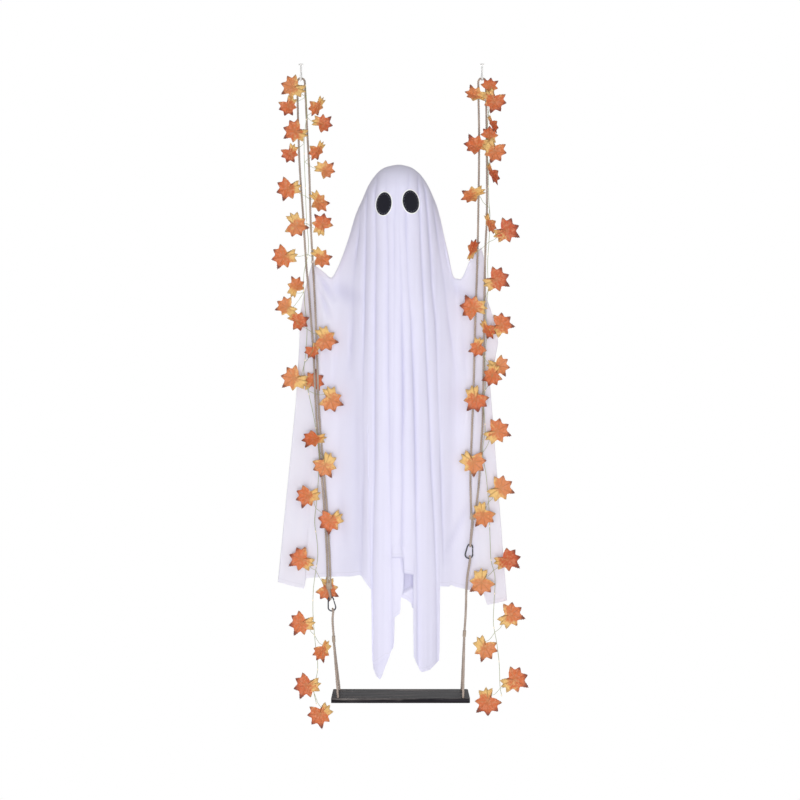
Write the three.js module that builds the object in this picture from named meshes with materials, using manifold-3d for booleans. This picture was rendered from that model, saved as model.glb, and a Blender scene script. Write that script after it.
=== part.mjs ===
// Hanging sheet ghost between two swing ropes, with leaf garlands, carabiners and a seat board.
// Millimetres, +Z up, front towards -Y. The origin is on the swing's pivot line, midway between the hooks.
import * as THREE from "three";
import { mergeVertices } from "three/addons/utils/BufferGeometryUtils.js";
import Module from "manifold-3d";

const wasm = await Module();
wasm.setup();

// Overall layout
const hangSpan = 524; // between the two hooks
const seatDrop = 1782; // from the pivot line to the seat's top face
const ropeForward = 15; // the ropes hang this far in front of the pivot line, so the weight is under it
const ropeLeanDrop = 520; // the ropes lean forward down to here, then hang straight
const clearance = 0.3; // running gap between pieces that touch
const overrun = 2; // how far a cutter passes the face it cuts
const weldGap = 1e-4; // corners closer than this are one corner
const halfTurn = 180; // degrees

// Ropes
const ropeRadius = 3.3;
const strandGap = 0.4; // between two strands that lie side by side
const ropeSides = 8;
const bightRadius = 11; // where the rope turns over a hook
const knotHalfWidth = 8;
const knotHalfDepth = 6.4;
const knotHalfHeight = 13;

// Ceiling hooks
const hookWireRadius = 2.6;
const hookBowRadius = 11;
const hookHeight = 36; // stem above the bow's centre
const hookCollarRadius = 7;
const hookCollarHeight = 2.5;
const hookTipAngle = -200; // the bow runs from here, in front, round below to its heel
const hookHeelAngle = 15;
const hookShoulderShares = [0.75, 1.1]; // back and up, of the bow's radius
const hookNeckShare = 1.9; // height where the stem is over the bow's centre
const hookSides = 8;

// Carabiners
const carabinerHeight = 44;
const carabinerWidth = 26;
const carabinerWireRadius = 2;
const carabinerTopRadius = 7.5; // wire centreline of the narrow end
const gateWireRadius = 1.7;
const gatePinRadius = 0.7;
const gateTongue = 1.4; // thickness of the flattened end that the gate straddles
const gateShare = { foot: -0.16, tip: 0.22 }; // heights of the gate's ends, of the carabiner's height
const linkBendAngle = 10; // each end's bend stops this far above or below the level line, in degrees
const leftCarabinerTilt = THREE.MathUtils.degToRad(-8);
const rightCarabinerTilt = THREE.MathUtils.degToRad(8);

// Seat board
const seatLength = 394;
const seatDepth = 105;
const seatThickness = 13;
const seatAcross = 26; // centre of the board, to the right of the origin
const seatHoleRadius = 4.2;
const seatHoleInset = 19; // from the board's end to the hole
const seatHoleSpread = 42; // from the middle of the board's depth
const seatCorner = 3;
const grooveDepth = 7.4;

// Ghost
const ghostBack = 20; // the ghost's middle plane lies this far behind the ropes
const headAcross = 19;
const headDrop = 348; // head centre below the pivot line
const headWall = 2;
const headLift = 8; // from the head's skin to the outside of the cloth over it
const neckLength = 24; // of the collar below the head
const neckRodRadius = 6;
const neckRodLength = 126;
const neckRodInside = 46; // how far the rod reaches above the collar's mouth
const armWireRadius = 2;
const armDrop = 152; // arm wire below the head's centre at the neck
const armNotchDrop = 12; // arm wire below the cloth at its two notches
const ringRadius = 5;
const ringLift = 9; // ring centre above the cloth's ridge
const ringReach = 5.5; // from the rope's middle to the ring
const handRopeShares = { left: [-0.433, 0.302], right: [0.473, 0.283] }; // where each hand is tied
const tieStringRadius = 1;

// Cloth
const clothThickness = 1.8;
const sheetWidth = 664;
const crownShare = 0.1386; // radius of the cloth over the head, of the sheet's width
const sheetDrop = 1492;
const panelFront = 8; // half thickness of the space in a side panel, towards the front
const panelBack = 15;
const panelRound = 30; // drop in which a side panel opens under its ridge
const drapeHalfWidth = 115;
const drapeFront = 100;
const drapeBack = 102;
const drapeSpread = 500; // drop in which the drape widens from the head's width
const foldDepth = 9;
const foldStart = 40;
const foldLength = 460;
const wireHoleGap = 0.5;
const crownRadius = sheetWidth * crownShare;
const headRadius = crownRadius - headLift;

// Eyes
const eyeWidth = { left: 43, right: 45.5 };
const eyeHeight = { left: 64.5, right: 64 };
const eyeAcross = { left: -21, right: 55 };
const eyeDrop = { left: 382, right: 376.5 };
const eyeLean = { left: THREE.MathUtils.degToRad(5), right: THREE.MathUtils.degToRad(-7) };
const feltThickness = 1.2;
const eyeDepth = 60; // of the cutter that outlines an eye

// Battery and receiver case
const cellRadius = 7.1;
const cellLength = 50;
const cellCount = 3;
const cellGap = 0.8;
const caseWall = 1.8;
const receiverHeight = 16;
const caseBossRadius = 9;
const caseBossHeight = 14;
const lidThickness = 1.8;
const buttonRadius = 4.5;
const buttonStand = 2.2;
const buttonTravel = 1.2;

// Garlands
const wireRadius = 0.75;
const leafSpan = 75;
const leafThickness = 0.8;
const leafCup = 3; // how far the tips bend forward
const leafLayer = 6; // one step of depth between leaves
const stemEndShare = 0.12; // where the stem ends behind the leaf's middle, of its span
const stemRadius = 0.7;
const beadRadius = 1.6;

// Edge of a left leaf, clockwise from the tip that points away from the wire. Right leaves are mirrored
const leafEdgeShares = [
  [0, 0.455],
  [0.136, 0.305],
  [0.325, 0.303],
  [0.325, 0.131],
  [0.455, 0.016],
  [0.285, -0.115],
  [0.131, -0.151],
  [0.148, -0.455],
  [0, -0.42],
  [-0.061, -0.493],
  [-0.154, -0.38],
  [-0.302, -0.386],
  [-0.283, -0.15],
  [-0.429, -0.03],
  [-0.304, 0.099],
  [-0.393, 0.341],
  [-0.142, 0.32],
];

// Rope routes: across in shares of the hang span, down in shares of the seat drop
const ropeShares = {
  left: {
    outer: [
      [-0.515, 0.074],
      [-0.507, 0.141],
      [-0.485, 0.233],
      [-0.468, 0.309],
      [-0.451, 0.364],
      [-0.427, 0.461],
      [-0.415, 0.543],
      [-0.393, 0.622],
      [-0.373, 0.687],
      [-0.356, 0.769],
      [-0.351, 0.816],
    ],
    inner: [
      [-0.466, 0.082],
      [-0.453, 0.157],
      [-0.444, 0.242],
      [-0.433, 0.302],
      [-0.419, 0.38],
      [-0.409, 0.461],
      [-0.399, 0.543],
      [-0.378, 0.622],
      [-0.359, 0.687],
      [-0.342, 0.769],
      [-0.336, 0.816],
    ],
    knot: [-0.342, 0.828],
    carabiner: [-0.33, 0.855],
    lower: [
      [-0.324, 0.881],
      [-0.319, 0.903],
    ],
    bridle: [-0.317, 0.915],
  },
  right: {
    outer: [
      [0.524, 0.087],
      [0.525, 0.226],
      [0.517, 0.276],
      [0.512, 0.335],
      [0.508, 0.433],
      [0.501, 0.561],
      [0.492, 0.601],
      [0.48, 0.661],
      [0.465, 0.698],
    ],
    inner: [
      [0.483, 0.105],
      [0.477, 0.234],
      [0.47, 0.317],
      [0.459, 0.409],
      [0.452, 0.495],
      [0.442, 0.577],
      [0.434, 0.651],
      [0.437, 0.698],
    ],
    knot: [0.446, 0.716],
    carabiner: [0.428, 0.77],
    lower: [
      [0.414, 0.819],
      [0.408, 0.869],
    ],
    bridle: [0.4, 0.906],
  },
};

// Light wire routes, in the same shares
const wireShares = {
  left: [
    [-0.473, 0.015],
    [-0.467, 0.06],
    [-0.481, 0.105],
    [-0.473, 0.186],
    [-0.467, 0.233],
    [-0.456, 0.283],
    [-0.481, 0.323],
    [-0.478, 0.364],
    [-0.464, 0.412],
    [-0.473, 0.456],
    [-0.481, 0.48],
    [-0.453, 0.517],
    [-0.423, 0.558],
    [-0.398, 0.606],
    [-0.401, 0.651],
    [-0.412, 0.692],
    [-0.422, 0.721],
    [-0.409, 0.753],
    [-0.405, 0.777],
    [-0.417, 0.803],
    [-0.429, 0.832],
    [-0.431, 0.869],
    [-0.42, 0.913],
    [-0.405, 0.958],
    [-0.426, 0.994],
    [-0.412, 1.015],
  ],
  right: [
    [0.526, 0.015],
    [0.533, 0.06],
    [0.525, 0.105],
    [0.532, 0.145],
    [0.535, 0.202],
    [0.541, 0.226],
    [0.536, 0.267],
    [0.528, 0.302],
    [0.53, 0.347],
    [0.519, 0.383],
    [0.522, 0.42],
    [0.514, 0.454],
    [0.516, 0.501],
    [0.506, 0.533],
    [0.514, 0.574],
    [0.5, 0.609],
    [0.519, 0.646],
    [0.534, 0.695],
    [0.542, 0.756],
    [0.547, 0.784],
    [0.568, 0.811],
    [0.563, 0.852],
    [0.56, 0.886],
    [0.577, 0.916],
    [0.591, 0.949],
    [0.596, 0.987],
    [0.604, 1.002],
  ],
};

// Sprigs from the top down: where the stems leave the wire, then each leaf as
// across, down, turn in degrees, size, fold in degrees, and layers in front of the ropes
const sprigShares = {
  left: [
    { at: 0.034, leaves: [[-0.541, 0.019, 165, 0.93, 0, 2.3], [-0.569, 0.05, 250, 0.78, 20, 1.4]] },
    { at: 0.066, leaves: [[-0.409, 0.052, 240, 0.81, 45, 2.3], [-0.379, 0.079, -10, 0.78, 20, 1.4]] },
    { at: 0.11, leaves: [[-0.528, 0.091, 165, 0.93, 0, 2.3], [-0.558, 0.127, 250, 0.74, 20, 1.4]] },
    { at: 0.14, leaves: [[-0.409, 0.124, 240, 0.81, 45, 2.3], [-0.365, 0.154, -10, 0.78, 20, 1.4]] },
    { at: 0.196, leaves: [[-0.566, 0.184, 200, 0.93, 0, 2.3], [-0.398, 0.207, -50, 0.89, 40, 2.3]] },
    { at: 0.24, leaves: [[-0.525, 0.244, -60, 0.93, 0, 2.3], [-0.379, 0.242, 80, 0.85, 10, 1.4]] },
    { at: 0.29, leaves: [[-0.588, 0.294, 195, 0.96, 0, 2.3], [-0.385, 0.297, -40, 0.85, 30, 2.3]] },
    { at: 0.35, leaves: [[-0.522, 0.343, 70, 0.81, 35, 1.4], [-0.574, 0.375, 150, 0.81, 15, 2.3]] },
    { at: 0.41, leaves: [[-0.511, 0.398, -30, 0.81, 20, 1.1], [-0.365, 0.428, -60, 0.96, 10, 2.3]] },
    { at: 0.465, leaves: [[-0.434, 0.446, -120, 0.63, 20, 1.4], [-0.533, 0.49, 170, 1, 0, 2.3]] },
    { at: 0.51, leaves: [[-0.429, 0.495, 30, 0.85, 0, -1], [-0.333, 0.525, -70, 0.96, 10, 2.3]] },
    { at: 0.605, leaves: [[-0.426, 0.587, 190, 0.93, 45, 2.3], [-0.365, 0.63, -110, 0.96, 0, 2.3]] },
    { at: 0.7, leaves: [[-0.459, 0.679, 200, 0.93, 20, 2.3], [-0.335, 0.719, 215, 0.96, 0, 2.3]] },
    { at: 0.8, leaves: [[-0.492, 0.781, 160, 0.96, 0, 2.3], [-0.355, 0.833, -80, 0.9, 0, -1.9]] },
    { at: 0.905, leaves: [[-0.492, 0.884, 190, 0.96, 0, 2.3], [-0.38, 0.928, 240, 0.85, 40, 2.3]] },
    { at: 1, leaves: [[-0.464, 0.984, 195, 1, 0, 2.3], [-0.392, 1.031, 230, 0.96, 0, 2.3]] },
  ],
  right: [
    { at: 0.03, leaves: [[0.539, 0.018, 80, 0.7, 10, 1.1], [0.461, 0.033, 160, 0.85, 45, 1.4]] },
    { at: 0.062, leaves: [[0.566, 0.042, -60, 0.93, 10, 2.3], [0.555, 0.081, -65, 0.74, 65, 2.3]] },
    { at: 0.1, leaves: [[0.539, 0.097, 90, 0.7, 10, 1.1], [0.465, 0.115, 170, 0.96, 35, 1.4]] },
    { at: 0.145, leaves: [[0.566, 0.123, -60, 0.93, 10, 2.3], [0.555, 0.162, -65, 0.89, 65, 2.3]] },
    { at: 0.215, leaves: [[0.445, 0.196, 200, 0.96, 50, 2.3], [0.539, 0.242, -70, 0.81, 60, 2.3]] },
    { at: 0.27, leaves: [[0.629, 0.252, 20, 1, 0, 2.3], [0.442, 0.283, 70, 0.85, 60, 2.3]] },
    { at: 0.35, leaves: [[0.574, 0.331, 20, 1, 0, 2.3], [0.445, 0.377, 170, 1, 10, 2.3]] },
    { at: 0.41, leaves: [[0.599, 0.404, 40, 0.93, 0, 2.3], [0.528, 0.412, -60, 0.81, 50, 1.4]] },
    { at: 0.46, leaves: [[0.473, 0.441, -110, 0.74, 20, 2.3], [0.588, 0.47, -10, 0.85, 10, 1.4]] },
    { at: 0.51, leaves: [[0.552, 0.486, -110, 0.85, 25, 2.3], [0.462, 0.524, -80, 1, 10, 2.3]] },
    { at: 0.61, leaves: [[0.577, 0.575, 30, 1, 0, 2.3], [0.448, 0.625, -40, 1, 0, 2.3]] },
    { at: 0.69, leaves: [[0.596, 0.667, 30, 1, 0, 2.3], [0.503, 0.71, -80, 0.96, 20, 2.3]] },
    { at: 0.8, leaves: [[0.635, 0.781, 10, 1, 25, 2.3], [0.495, 0.819, -95, 1, 0, 2.3]] },
    { at: 0.9, leaves: [[0.651, 0.871, 35, 1, 0, 2.3], [0.514, 0.924, -60, 0.96, 10, 2.3]] },
    { at: 0.99, leaves: [[0.673, 0.975, 20, 1.04, 0, 2.3], [0.528, 1.011, -90, 1.04, 0, 2.3]] },
  ],
};

// Cloth columns from left to right: ridge across and down, front hem across and down, and fold.
// Across is in shares of the sheet's width from the head's middle, down in shares of its drop.
const columnShares = [
  [-0.377, 0.192, -0.525, 0.809, 0],
  [-0.354, 0.197, -0.469, 0.816, 0.4],
  [-0.334, 0.204, -0.412, 0.822, -0.3],
  [-0.317, 0.21, -0.399, 0.801, 0],
  [-0.299, 0.217, -0.334, 0.799, 0.4],
  [-0.282, 0.214, -0.269, 0.798, -0.4],
  [-0.247, 0.175, -0.208, 0.796, 0.4],
  [-0.213, 0.132, -0.158, 0.79, -0.6],
  [-0.187, 0.098, -0.131, 0.804, 0.8],
  [-0.156, 0.066, -0.11, 0.812, -0.5],
  [-0.126, 0.037, -0.104, 0.961, -1],
  [-0.091, 0.016, -0.075, 0.987, 1],
  [-0.061, 0.006, -0.048, 0.965, -1],
  [-0.03, 0.002, -0.017, 0.923, 1],
  [-0.004, 0, 0.009, 0.833, -0.8],
  [0.011, 0, 0.022, 0.757, -0.6],
  [0.033, 0.002, 0.041, 0.778, 1],
  [0.056, 0.005, 0.06, 0.791, -0.8],
  [0.074, 0.01, 0.074, 0.938, -1],
  [0.098, 0.019, 0.102, 0.972, 1],
  [0.121, 0.033, 0.129, 0.968, -1],
  [0.141, 0.049, 0.151, 0.953, 1],
  [0.156, 0.064, 0.168, 0.936, -0.3],
  [0.171, 0.081, 0.178, 0.814, -0.5],
  [0.187, 0.108, 0.21, 0.809, 0.7],
  [0.204, 0.143, 0.252, 0.818, -0.5],
  [0.221, 0.176, 0.291, 0.822, 0],
  [0.239, 0.209, 0.334, 0.827, 0.4],
  [0.258, 0.219, 0.371, 0.831, 0],
  [0.282, 0.21, 0.39, 0.853, -0.3],
  [0.317, 0.183, 0.43, 0.85, 0.4],
  [0.363, 0.159, 0.475, 0.845, 0],
];
// Back hem: place from left to right and drop
const backHemShares = [
  [0, 0.809],
  [0.2, 0.797],
  [0.5, 0.85],
  [0.8, 0.822],
  [1, 0.845],
];
// Outer edges of the cloth: place from hand to hem, and how far it swings to the right
const leftEdgeShares = [
  [0, 0],
  [0.08, -0.018],
  [0.16, -0.028],
  [0.25, -0.017],
  [0.44, -0.005],
  [1, 0],
];
const rightEdgeShares = [
  [0, 0],
  [0.05, 0.015],
  [0.14, 0.006],
  [0.21, 0.036],
  [0.27, 0.044],
  [0.33, 0.02],
  [0.39, -0.005],
  [1, 0],
];
const edgeFadeShares = [1, 0.6, 0.3];
const crownAngles = [0, 30, 60, 90]; // rows of the cloth over the head, from its top
const lowerRowShares = [0.12, 0.32, 0.58, 0.82, 1];
const eyeRow = 4; // cloth row that lies below the eyes

const finishes = {
  hook: { color: 0xf2f2ef, roughness: 0.4, metalness: 0 },
  rope: { color: 0xb5977a, roughness: 0.95, metalness: 0 },
  steel: { color: 0x2b2a33, roughness: 0.35, metalness: 0.9 },
  board: { color: 0x2e2d2d, roughness: 0.7, metalness: 0 },
  cloth: { color: 0xf1eef9, roughness: 0.9, metalness: 0 },
  felt: { color: 0x0b0b0c, roughness: 0.95, metalness: 0 },
  ball: { color: 0xf5f5f5, roughness: 0.6, metalness: 0 },
  rod: { color: 0xd9c7a4, roughness: 0.7, metalness: 0 },
  leaf: { color: 0xe4762f, roughness: 0.7, metalness: 0 },
  wire: { color: 0x9aa06a, roughness: 0.5, metalness: 0.3 },
  string: { color: 0xe9e4d8, roughness: 0.9, metalness: 0 },
  plastic: { color: 0xe8e8e6, roughness: 0.5, metalness: 0 },
  button: { color: 0x3f7f4c, roughness: 0.4, metalness: 0 },
  cell: { color: 0xc9a44a, roughness: 0.35, metalness: 0.5 },
};

function named(name, geometry, finish) {
  const mesh = new THREE.Mesh(geometry, new THREE.MeshStandardMaterial(finishes[finish]));
  mesh.name = name;
  return mesh;
}

// Solids for cutting and joining

function solid(geometry) {
  const bare = geometry.clone();
  for (const name of Object.keys(bare.attributes)) {
    if (name !== "position") {
      bare.deleteAttribute(name);
    }
  }
  const merged = mergeVertices(bare, weldGap);
  return new wasm.Manifold(
    new wasm.Mesh({
      numProp: 3,
      vertProperties: merged.attributes.position.array,
      triVerts: new Uint32Array(merged.index.array),
    }),
  );
}

function shapeOf(body) {
  const mesh = body.getMesh();
  const geometry = new THREE.BufferGeometry();
  geometry.setAttribute("position", new THREE.BufferAttribute(mesh.vertProperties, 3));
  geometry.setIndex(new THREE.BufferAttribute(mesh.triVerts, 1));
  return geometry;
}

function joined(...geometries) {
  return shapeOf(geometries.map(solid).reduce((whole, piece) => whole.add(piece)));
}

function cut(geometry, ...cutters) {
  return shapeOf(cutters.map(solid).reduce((whole, piece) => whole.subtract(piece), solid(geometry)));
}

// Places. Depth is measured from the plane in which the ropes hang below the hands

function leanAt(z) {
  return ropeForward * Math.max(0, 1 + z / ropeLeanDrop);
}

function place([across, down]) {
  const z = -down * seatDrop;
  return new THREE.Vector3(across * hangSpan, leanAt(z), z);
}

// A path that is followed point by point, so each bend stays where its points are
class Route extends THREE.Curve {
  constructor(points, closed = false) {
    super();
    this.points = closed ? [...points, points[0]] : points;
    this.closed = closed;
  }

  getPoint(share, target = new THREE.Vector3()) {
    const last = this.points.length - 1;
    const along = THREE.MathUtils.clamp(share, 0, 1) * last;
    const index = Math.min(Math.floor(along), last - 1);
    return target.copy(this.points[index]).lerp(this.points[index + 1], along - index);
  }

  getPointAt(share, target) {
    return this.getPoint(share, target);
  }

  getTangentAt(share, target = new THREE.Vector3()) {
    const step = 0.5 / (this.points.length - 1);
    const wrap = (value) => (this.closed ? (value + 1) % 1 : value);
    const before = this.getPoint(wrap(share - step));
    return target.copy(this.getPoint(wrap(share + step))).sub(before).normalize();
  }
}

function round(radius, sides) {
  const shape = new THREE.Shape();
  for (let i = 0; i < sides; i += 1) {
    const angle = ((i + 0.5) / sides) * 2 * Math.PI;
    const [x, y] = [radius * Math.cos(angle), radius * Math.sin(angle)];
    if (i === 0) {
      shape.moveTo(x, y);
    } else {
      shape.lineTo(x, y);
    }
  }
  return shape;
}

function tube(points, radius, sides) {
  return new THREE.ExtrudeGeometry(round(radius, sides), {
    steps: points.length - 1,
    bevelEnabled: false,
    extrudePath: new Route(points),
  });
}

function loop(points, radius, sides) {
  return new THREE.TubeGeometry(new Route(points, true), points.length, radius, sides, true);
}

// Points of an arc in the plane of two unit vectors
function arc(centre, radius, across, up, from, to, steps) {
  const points = [];
  for (let i = 0; i <= steps; i += 1) {
    const angle = THREE.MathUtils.degToRad(from + ((to - from) * i) / steps);
    points.push(
      centre
        .clone()
        .addScaledVector(across, radius * Math.cos(angle))
        .addScaledVector(up, radius * Math.sin(angle)),
    );
  }
  return points;
}

// A cylinder that stands along +Z, from a point
function post(radius, height, sides, at = new THREE.Vector3()) {
  return new THREE.CylinderGeometry(radius, radius, height, sides)
    .rotateX(Math.PI / 2)
    .translate(at.x, at.y, at.z + height / 2);
}

// A cylinder along Y, centred on a point
function crossPin(radius, length, sides, at) {
  return new THREE.CylinderGeometry(radius, radius, length, sides).translate(at.x, at.y, at.z);
}

function block(width, depth, height, at) {
  return new THREE.BoxGeometry(width, depth, height).translate(at.x, at.y, at.z);
}

const X = new THREE.Vector3(1, 0, 0);
const Y = new THREE.Vector3(0, 1, 0);
const Z = new THREE.Vector3(0, 0, 1);
const strandOffset = ropeRadius + strandGap / 2;

// Ceiling hook: collar, stem and a bow whose centre is on the pivot line

function ceilingHook() {
  const centre = new THREE.Vector3();
  const bow = arc(centre, hookBowRadius, Y, Z, hookTipAngle, hookHeelAngle, 12);
  const [shoulderBack, shoulderUp] = hookShoulderShares;
  const shoulder = new THREE.Vector3(0, hookBowRadius * shoulderBack, hookBowRadius * shoulderUp);
  const neckTop = new THREE.Vector3(0, 0, hookBowRadius * hookNeckShare);
  const stemTop = new THREE.Vector3(0, 0, hookHeight);
  const wire = tube([...bow, shoulder, neckTop, stemTop], hookWireRadius, hookSides);
  const collarFoot = new THREE.Vector3(0, 0, hookHeight - hookCollarHeight);
  const collar = post(hookCollarRadius, hookCollarHeight, 16, collarFoot);
  return joined(wire, collar);
}

// Upper rope: one length doubled over the hook, knotted, with an eye round the carabiner

const ropeTop = -(hookBowRadius - hookWireRadius - clearance - ropeRadius);

function knot(at) {
  return new THREE.SphereGeometry(1, 10, 8)
    .rotateX(Math.PI / 2)
    .scale(knotHalfWidth, knotHalfDepth, knotHalfHeight)
    .translate(at.x, at.y, at.z);
}

function eyeRadius() {
  return carabinerWireRadius + clearance + ropeRadius;
}

function upperRope(side, sign) {
  const shares = ropeShares[side];
  const hang = (sign * hangSpan) / 2;
  const bightCentre = new THREE.Vector3(hang, ropeForward, ropeTop - bightRadius);
  const bight = arc(bightCentre, bightRadius, X, Z, 0, halfTurn, 8);
  const [first, second] = side === "left" ? [shares.inner, shares.outer] : [shares.outer, shares.inner];
  const knotAt = place(shares.knot);
  const offset = strandOffset;
  const rightFoot = knotAt.clone().addScaledVector(X, offset);
  const leftFoot = knotAt.clone().addScaledVector(X, -offset);
  const up = [...first].reverse().map((share) => place(share));
  const down = second.map((share) => place(share));
  const strands = tube([rightFoot, ...up, ...bight, ...down, leftFoot], ropeRadius, ropeSides);
  const top = carabinerPoint(side, carabinerHeight / 2 - carabinerWireRadius);
  const turn = arc(top, eyeRadius(), Y, Z, halfTurn, 2 * halfTurn, 6);
  const eye = tube(
    [knotAt.clone().addScaledVector(Y, -offset), ...turn, knotAt.clone().addScaledVector(Y, offset)],
    ropeRadius,
    ropeSides,
  );
  return joined(strands, knot(knotAt), eye);
}

// Carabiner: pear-shaped wire link in its own XZ plane, open on the right for the gate

const carabinerTilts = { left: leftCarabinerTilt, right: rightCarabinerTilt };
const bottomRadius = carabinerWidth / 2 - carabinerWireRadius;
const bottomCentre = -(carabinerHeight / 2 - carabinerWireRadius - bottomRadius);
const topCentre = carabinerHeight / 2 - carabinerWireRadius - carabinerTopRadius;

function carabinerPoint(side, height) {
  const along = new THREE.Vector3(0, 0, height).applyAxisAngle(Y, carabinerTilts[side]);
  return place(ropeShares[side].carabiner).add(along);
}

const bottomCentres = {
  left: carabinerPoint("left", bottomCentre),
  right: carabinerPoint("right", bottomCentre),
};
const seatAxis = bottomCentres.right.clone().sub(bottomCentres.left).normalize();
const seatAxisUp = new THREE.Vector3(-seatAxis.z, 0, seatAxis.x);

// The straight side's line, between the two end arcs
function sideAt(height) {
  const lean = (bottomRadius - carabinerTopRadius) / (topCentre - bottomCentre);
  return bottomRadius - (height - bottomCentre) * lean;
}

function gateEnd(share) {
  const height = carabinerHeight * share;
  return new THREE.Vector3(sideAt(height), 0, height);
}

const gateFoot = gateEnd(gateShare.foot);
const gateTip = gateEnd(gateShare.tip);

function carabinerBody() {
  const low = new THREE.Vector3(0, 0, bottomCentre);
  const high = new THREE.Vector3(0, 0, topCentre);
  const nose = gateTip.clone().addScaledVector(Z, clearance);
  const wire = tube(
    [
      nose,
      ...arc(high, carabinerTopRadius, X, Z, linkBendAngle, halfTurn - linkBendAngle, 8),
      ...arc(low, bottomRadius, X, Z, halfTurn + linkBendAngle, 2 * halfTurn - linkBendAngle, 10),
      gateFoot,
    ],
    carabinerWireRadius,
    8,
  );
  const earRadius = carabinerWireRadius + clearance;
  const clear = earRadius + clearance + carabinerWireRadius;
  const front = block(
    2 * clear,
    carabinerWireRadius * 2,
    2 * earRadius,
    new THREE.Vector3(gateFoot.x, -(gateTongue / 2 + carabinerWireRadius), gateFoot.z),
  );
  const back = front.clone().translate(0, gateTongue + 2 * carabinerWireRadius, 0);
  const tongue = crossPin(carabinerWireRadius, gateTongue, 10, gateFoot);
  const bore = crossPin(gatePinRadius + clearance, gateTongue + overrun, 10, gateFoot);
  return shapeOf(
    solid(wire)
      .subtract(solid(front))
      .subtract(solid(back))
      .add(solid(tongue))
      .subtract(solid(bore)),
  );
}

// Gate, with its hinge at the origin: a rod whose forked foot straddles the tongue
function gateBody() {
  const reach = gateTip.clone().sub(gateFoot);
  const rod = tube([new THREE.Vector3(), reach], gateWireRadius, 8);
  const foot = crossPin(gateWireRadius, 2 * gateWireRadius, 10, new THREE.Vector3());
  const slot = block(
    4 * carabinerWireRadius,
    gateTongue + 2 * clearance,
    2 * (carabinerWireRadius + 2 * clearance),
    new THREE.Vector3(),
  );
  const boreLength = 2 * gateWireRadius + overrun;
  const bore = crossPin(gatePinRadius + clearance, boreLength, 10, new THREE.Vector3());
  return cut(joined(rod, foot), slot, bore);
}

function gatePin() {
  return crossPin(gatePinRadius, 2 * gateWireRadius, 10, new THREE.Vector3());
}

// Lower rope: an eye round the carabiner, a doubled run, a bridle knot and a loop under the board

const seatTop = -seatDrop;
const seatBottom = seatTop - seatThickness;
const seatHoles = {
  left: seatAcross - seatLength / 2 + seatHoleInset,
  right: seatAcross + seatLength / 2 - seatHoleInset,
};

function lowerRope(side) {
  const shares = ropeShares[side];
  const bridleAt = place(shares.bridle);
  const turnAt = bottomCentres[side].clone().addScaledVector(seatAxisUp, -bottomRadius);
  const turn = arc(turnAt, eyeRadius(), Y, seatAxisUp, 0, halfTurn, 6);
  const run = shares.lower.map((share) => place(share));
  const back = run.map((point) => point.clone().addScaledVector(Y, strandOffset));
  const front = run.map((point) => point.clone().addScaledVector(Y, -strandOffset));
  const doubled = tube(
    [
      bridleAt.clone().addScaledVector(Y, strandOffset),
      ...back.reverse(),
      ...turn,
      ...front,
      bridleAt.clone().addScaledVector(Y, -strandOffset),
    ],
    ropeRadius,
    ropeSides,
  );
  const holeX = seatHoles[side];
  const grooveZ = seatBottom + grooveDepth - clearance - ropeRadius;
  const bend = ropeRadius;
  const legs = tube(
    [
      bridleAt.clone().addScaledVector(Y, -strandOffset),
      new THREE.Vector3(holeX, -seatHoleSpread, seatTop + ropeRadius),
      new THREE.Vector3(holeX, -seatHoleSpread, grooveZ + bend),
      new THREE.Vector3(holeX, -seatHoleSpread + bend, grooveZ),
      new THREE.Vector3(holeX, seatHoleSpread - bend, grooveZ),
      new THREE.Vector3(holeX, seatHoleSpread, grooveZ + bend),
      new THREE.Vector3(holeX, seatHoleSpread, seatTop + ropeRadius),
      bridleAt.clone().addScaledVector(Y, strandOffset),
    ],
    ropeRadius,
    ropeSides,
  );
  return joined(doubled, knot(bridleAt), legs);
}

function seatBoard() {
  const outline = new THREE.Shape();
  const [halfLength, halfDepth] = [seatLength / 2, seatDepth / 2];
  outline.moveTo(-halfLength + seatCorner, -halfDepth);
  outline.lineTo(halfLength - seatCorner, -halfDepth);
  outline.lineTo(halfLength, -halfDepth + seatCorner);
  outline.lineTo(halfLength, halfDepth - seatCorner);
  outline.lineTo(halfLength - seatCorner, halfDepth);
  outline.lineTo(-halfLength + seatCorner, halfDepth);
  outline.lineTo(-halfLength, halfDepth - seatCorner);
  outline.lineTo(-halfLength, -halfDepth + seatCorner);
  outline.closePath();
  const plain = { depth: seatThickness, bevelEnabled: false };
  const board = new THREE.ExtrudeGeometry(outline, plain).translate(
    seatAcross,
    0,
    seatBottom,
  );
  const cutters = [];
  for (const holeX of Object.values(seatHoles)) {
    for (const sign of [-1, 1]) {
      const foot = new THREE.Vector3(holeX, sign * seatHoleSpread, seatBottom - overrun);
      cutters.push(post(seatHoleRadius, seatThickness + 2 * overrun, 12, foot));
    }
    cutters.push(
      block(
        2 * seatHoleRadius,
        2 * seatHoleSpread,
        grooveDepth + overrun,
        new THREE.Vector3(holeX, 0, seatBottom + (grooveDepth - overrun) / 2),
      ),
    );
  }
  return cut(board, ...cutters);
}

// Cloth: front and back panels that join along the ridge and down both outer edges

const sheetTop = -headDrop + crownRadius;
const columns = columnShares.length;

function between(table, at) {
  const index = Math.max(1, table.findIndex(([end]) => end >= at));
  const [from, to] = [table[index - 1], table[index]];
  return THREE.MathUtils.lerp(from[1], to[1], (at - from[0]) / (to[0] - from[0]));
}

const opens = (share) => (share >= 1 ? 1 : Math.sqrt(1 - (1 - share) ** 2));

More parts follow.
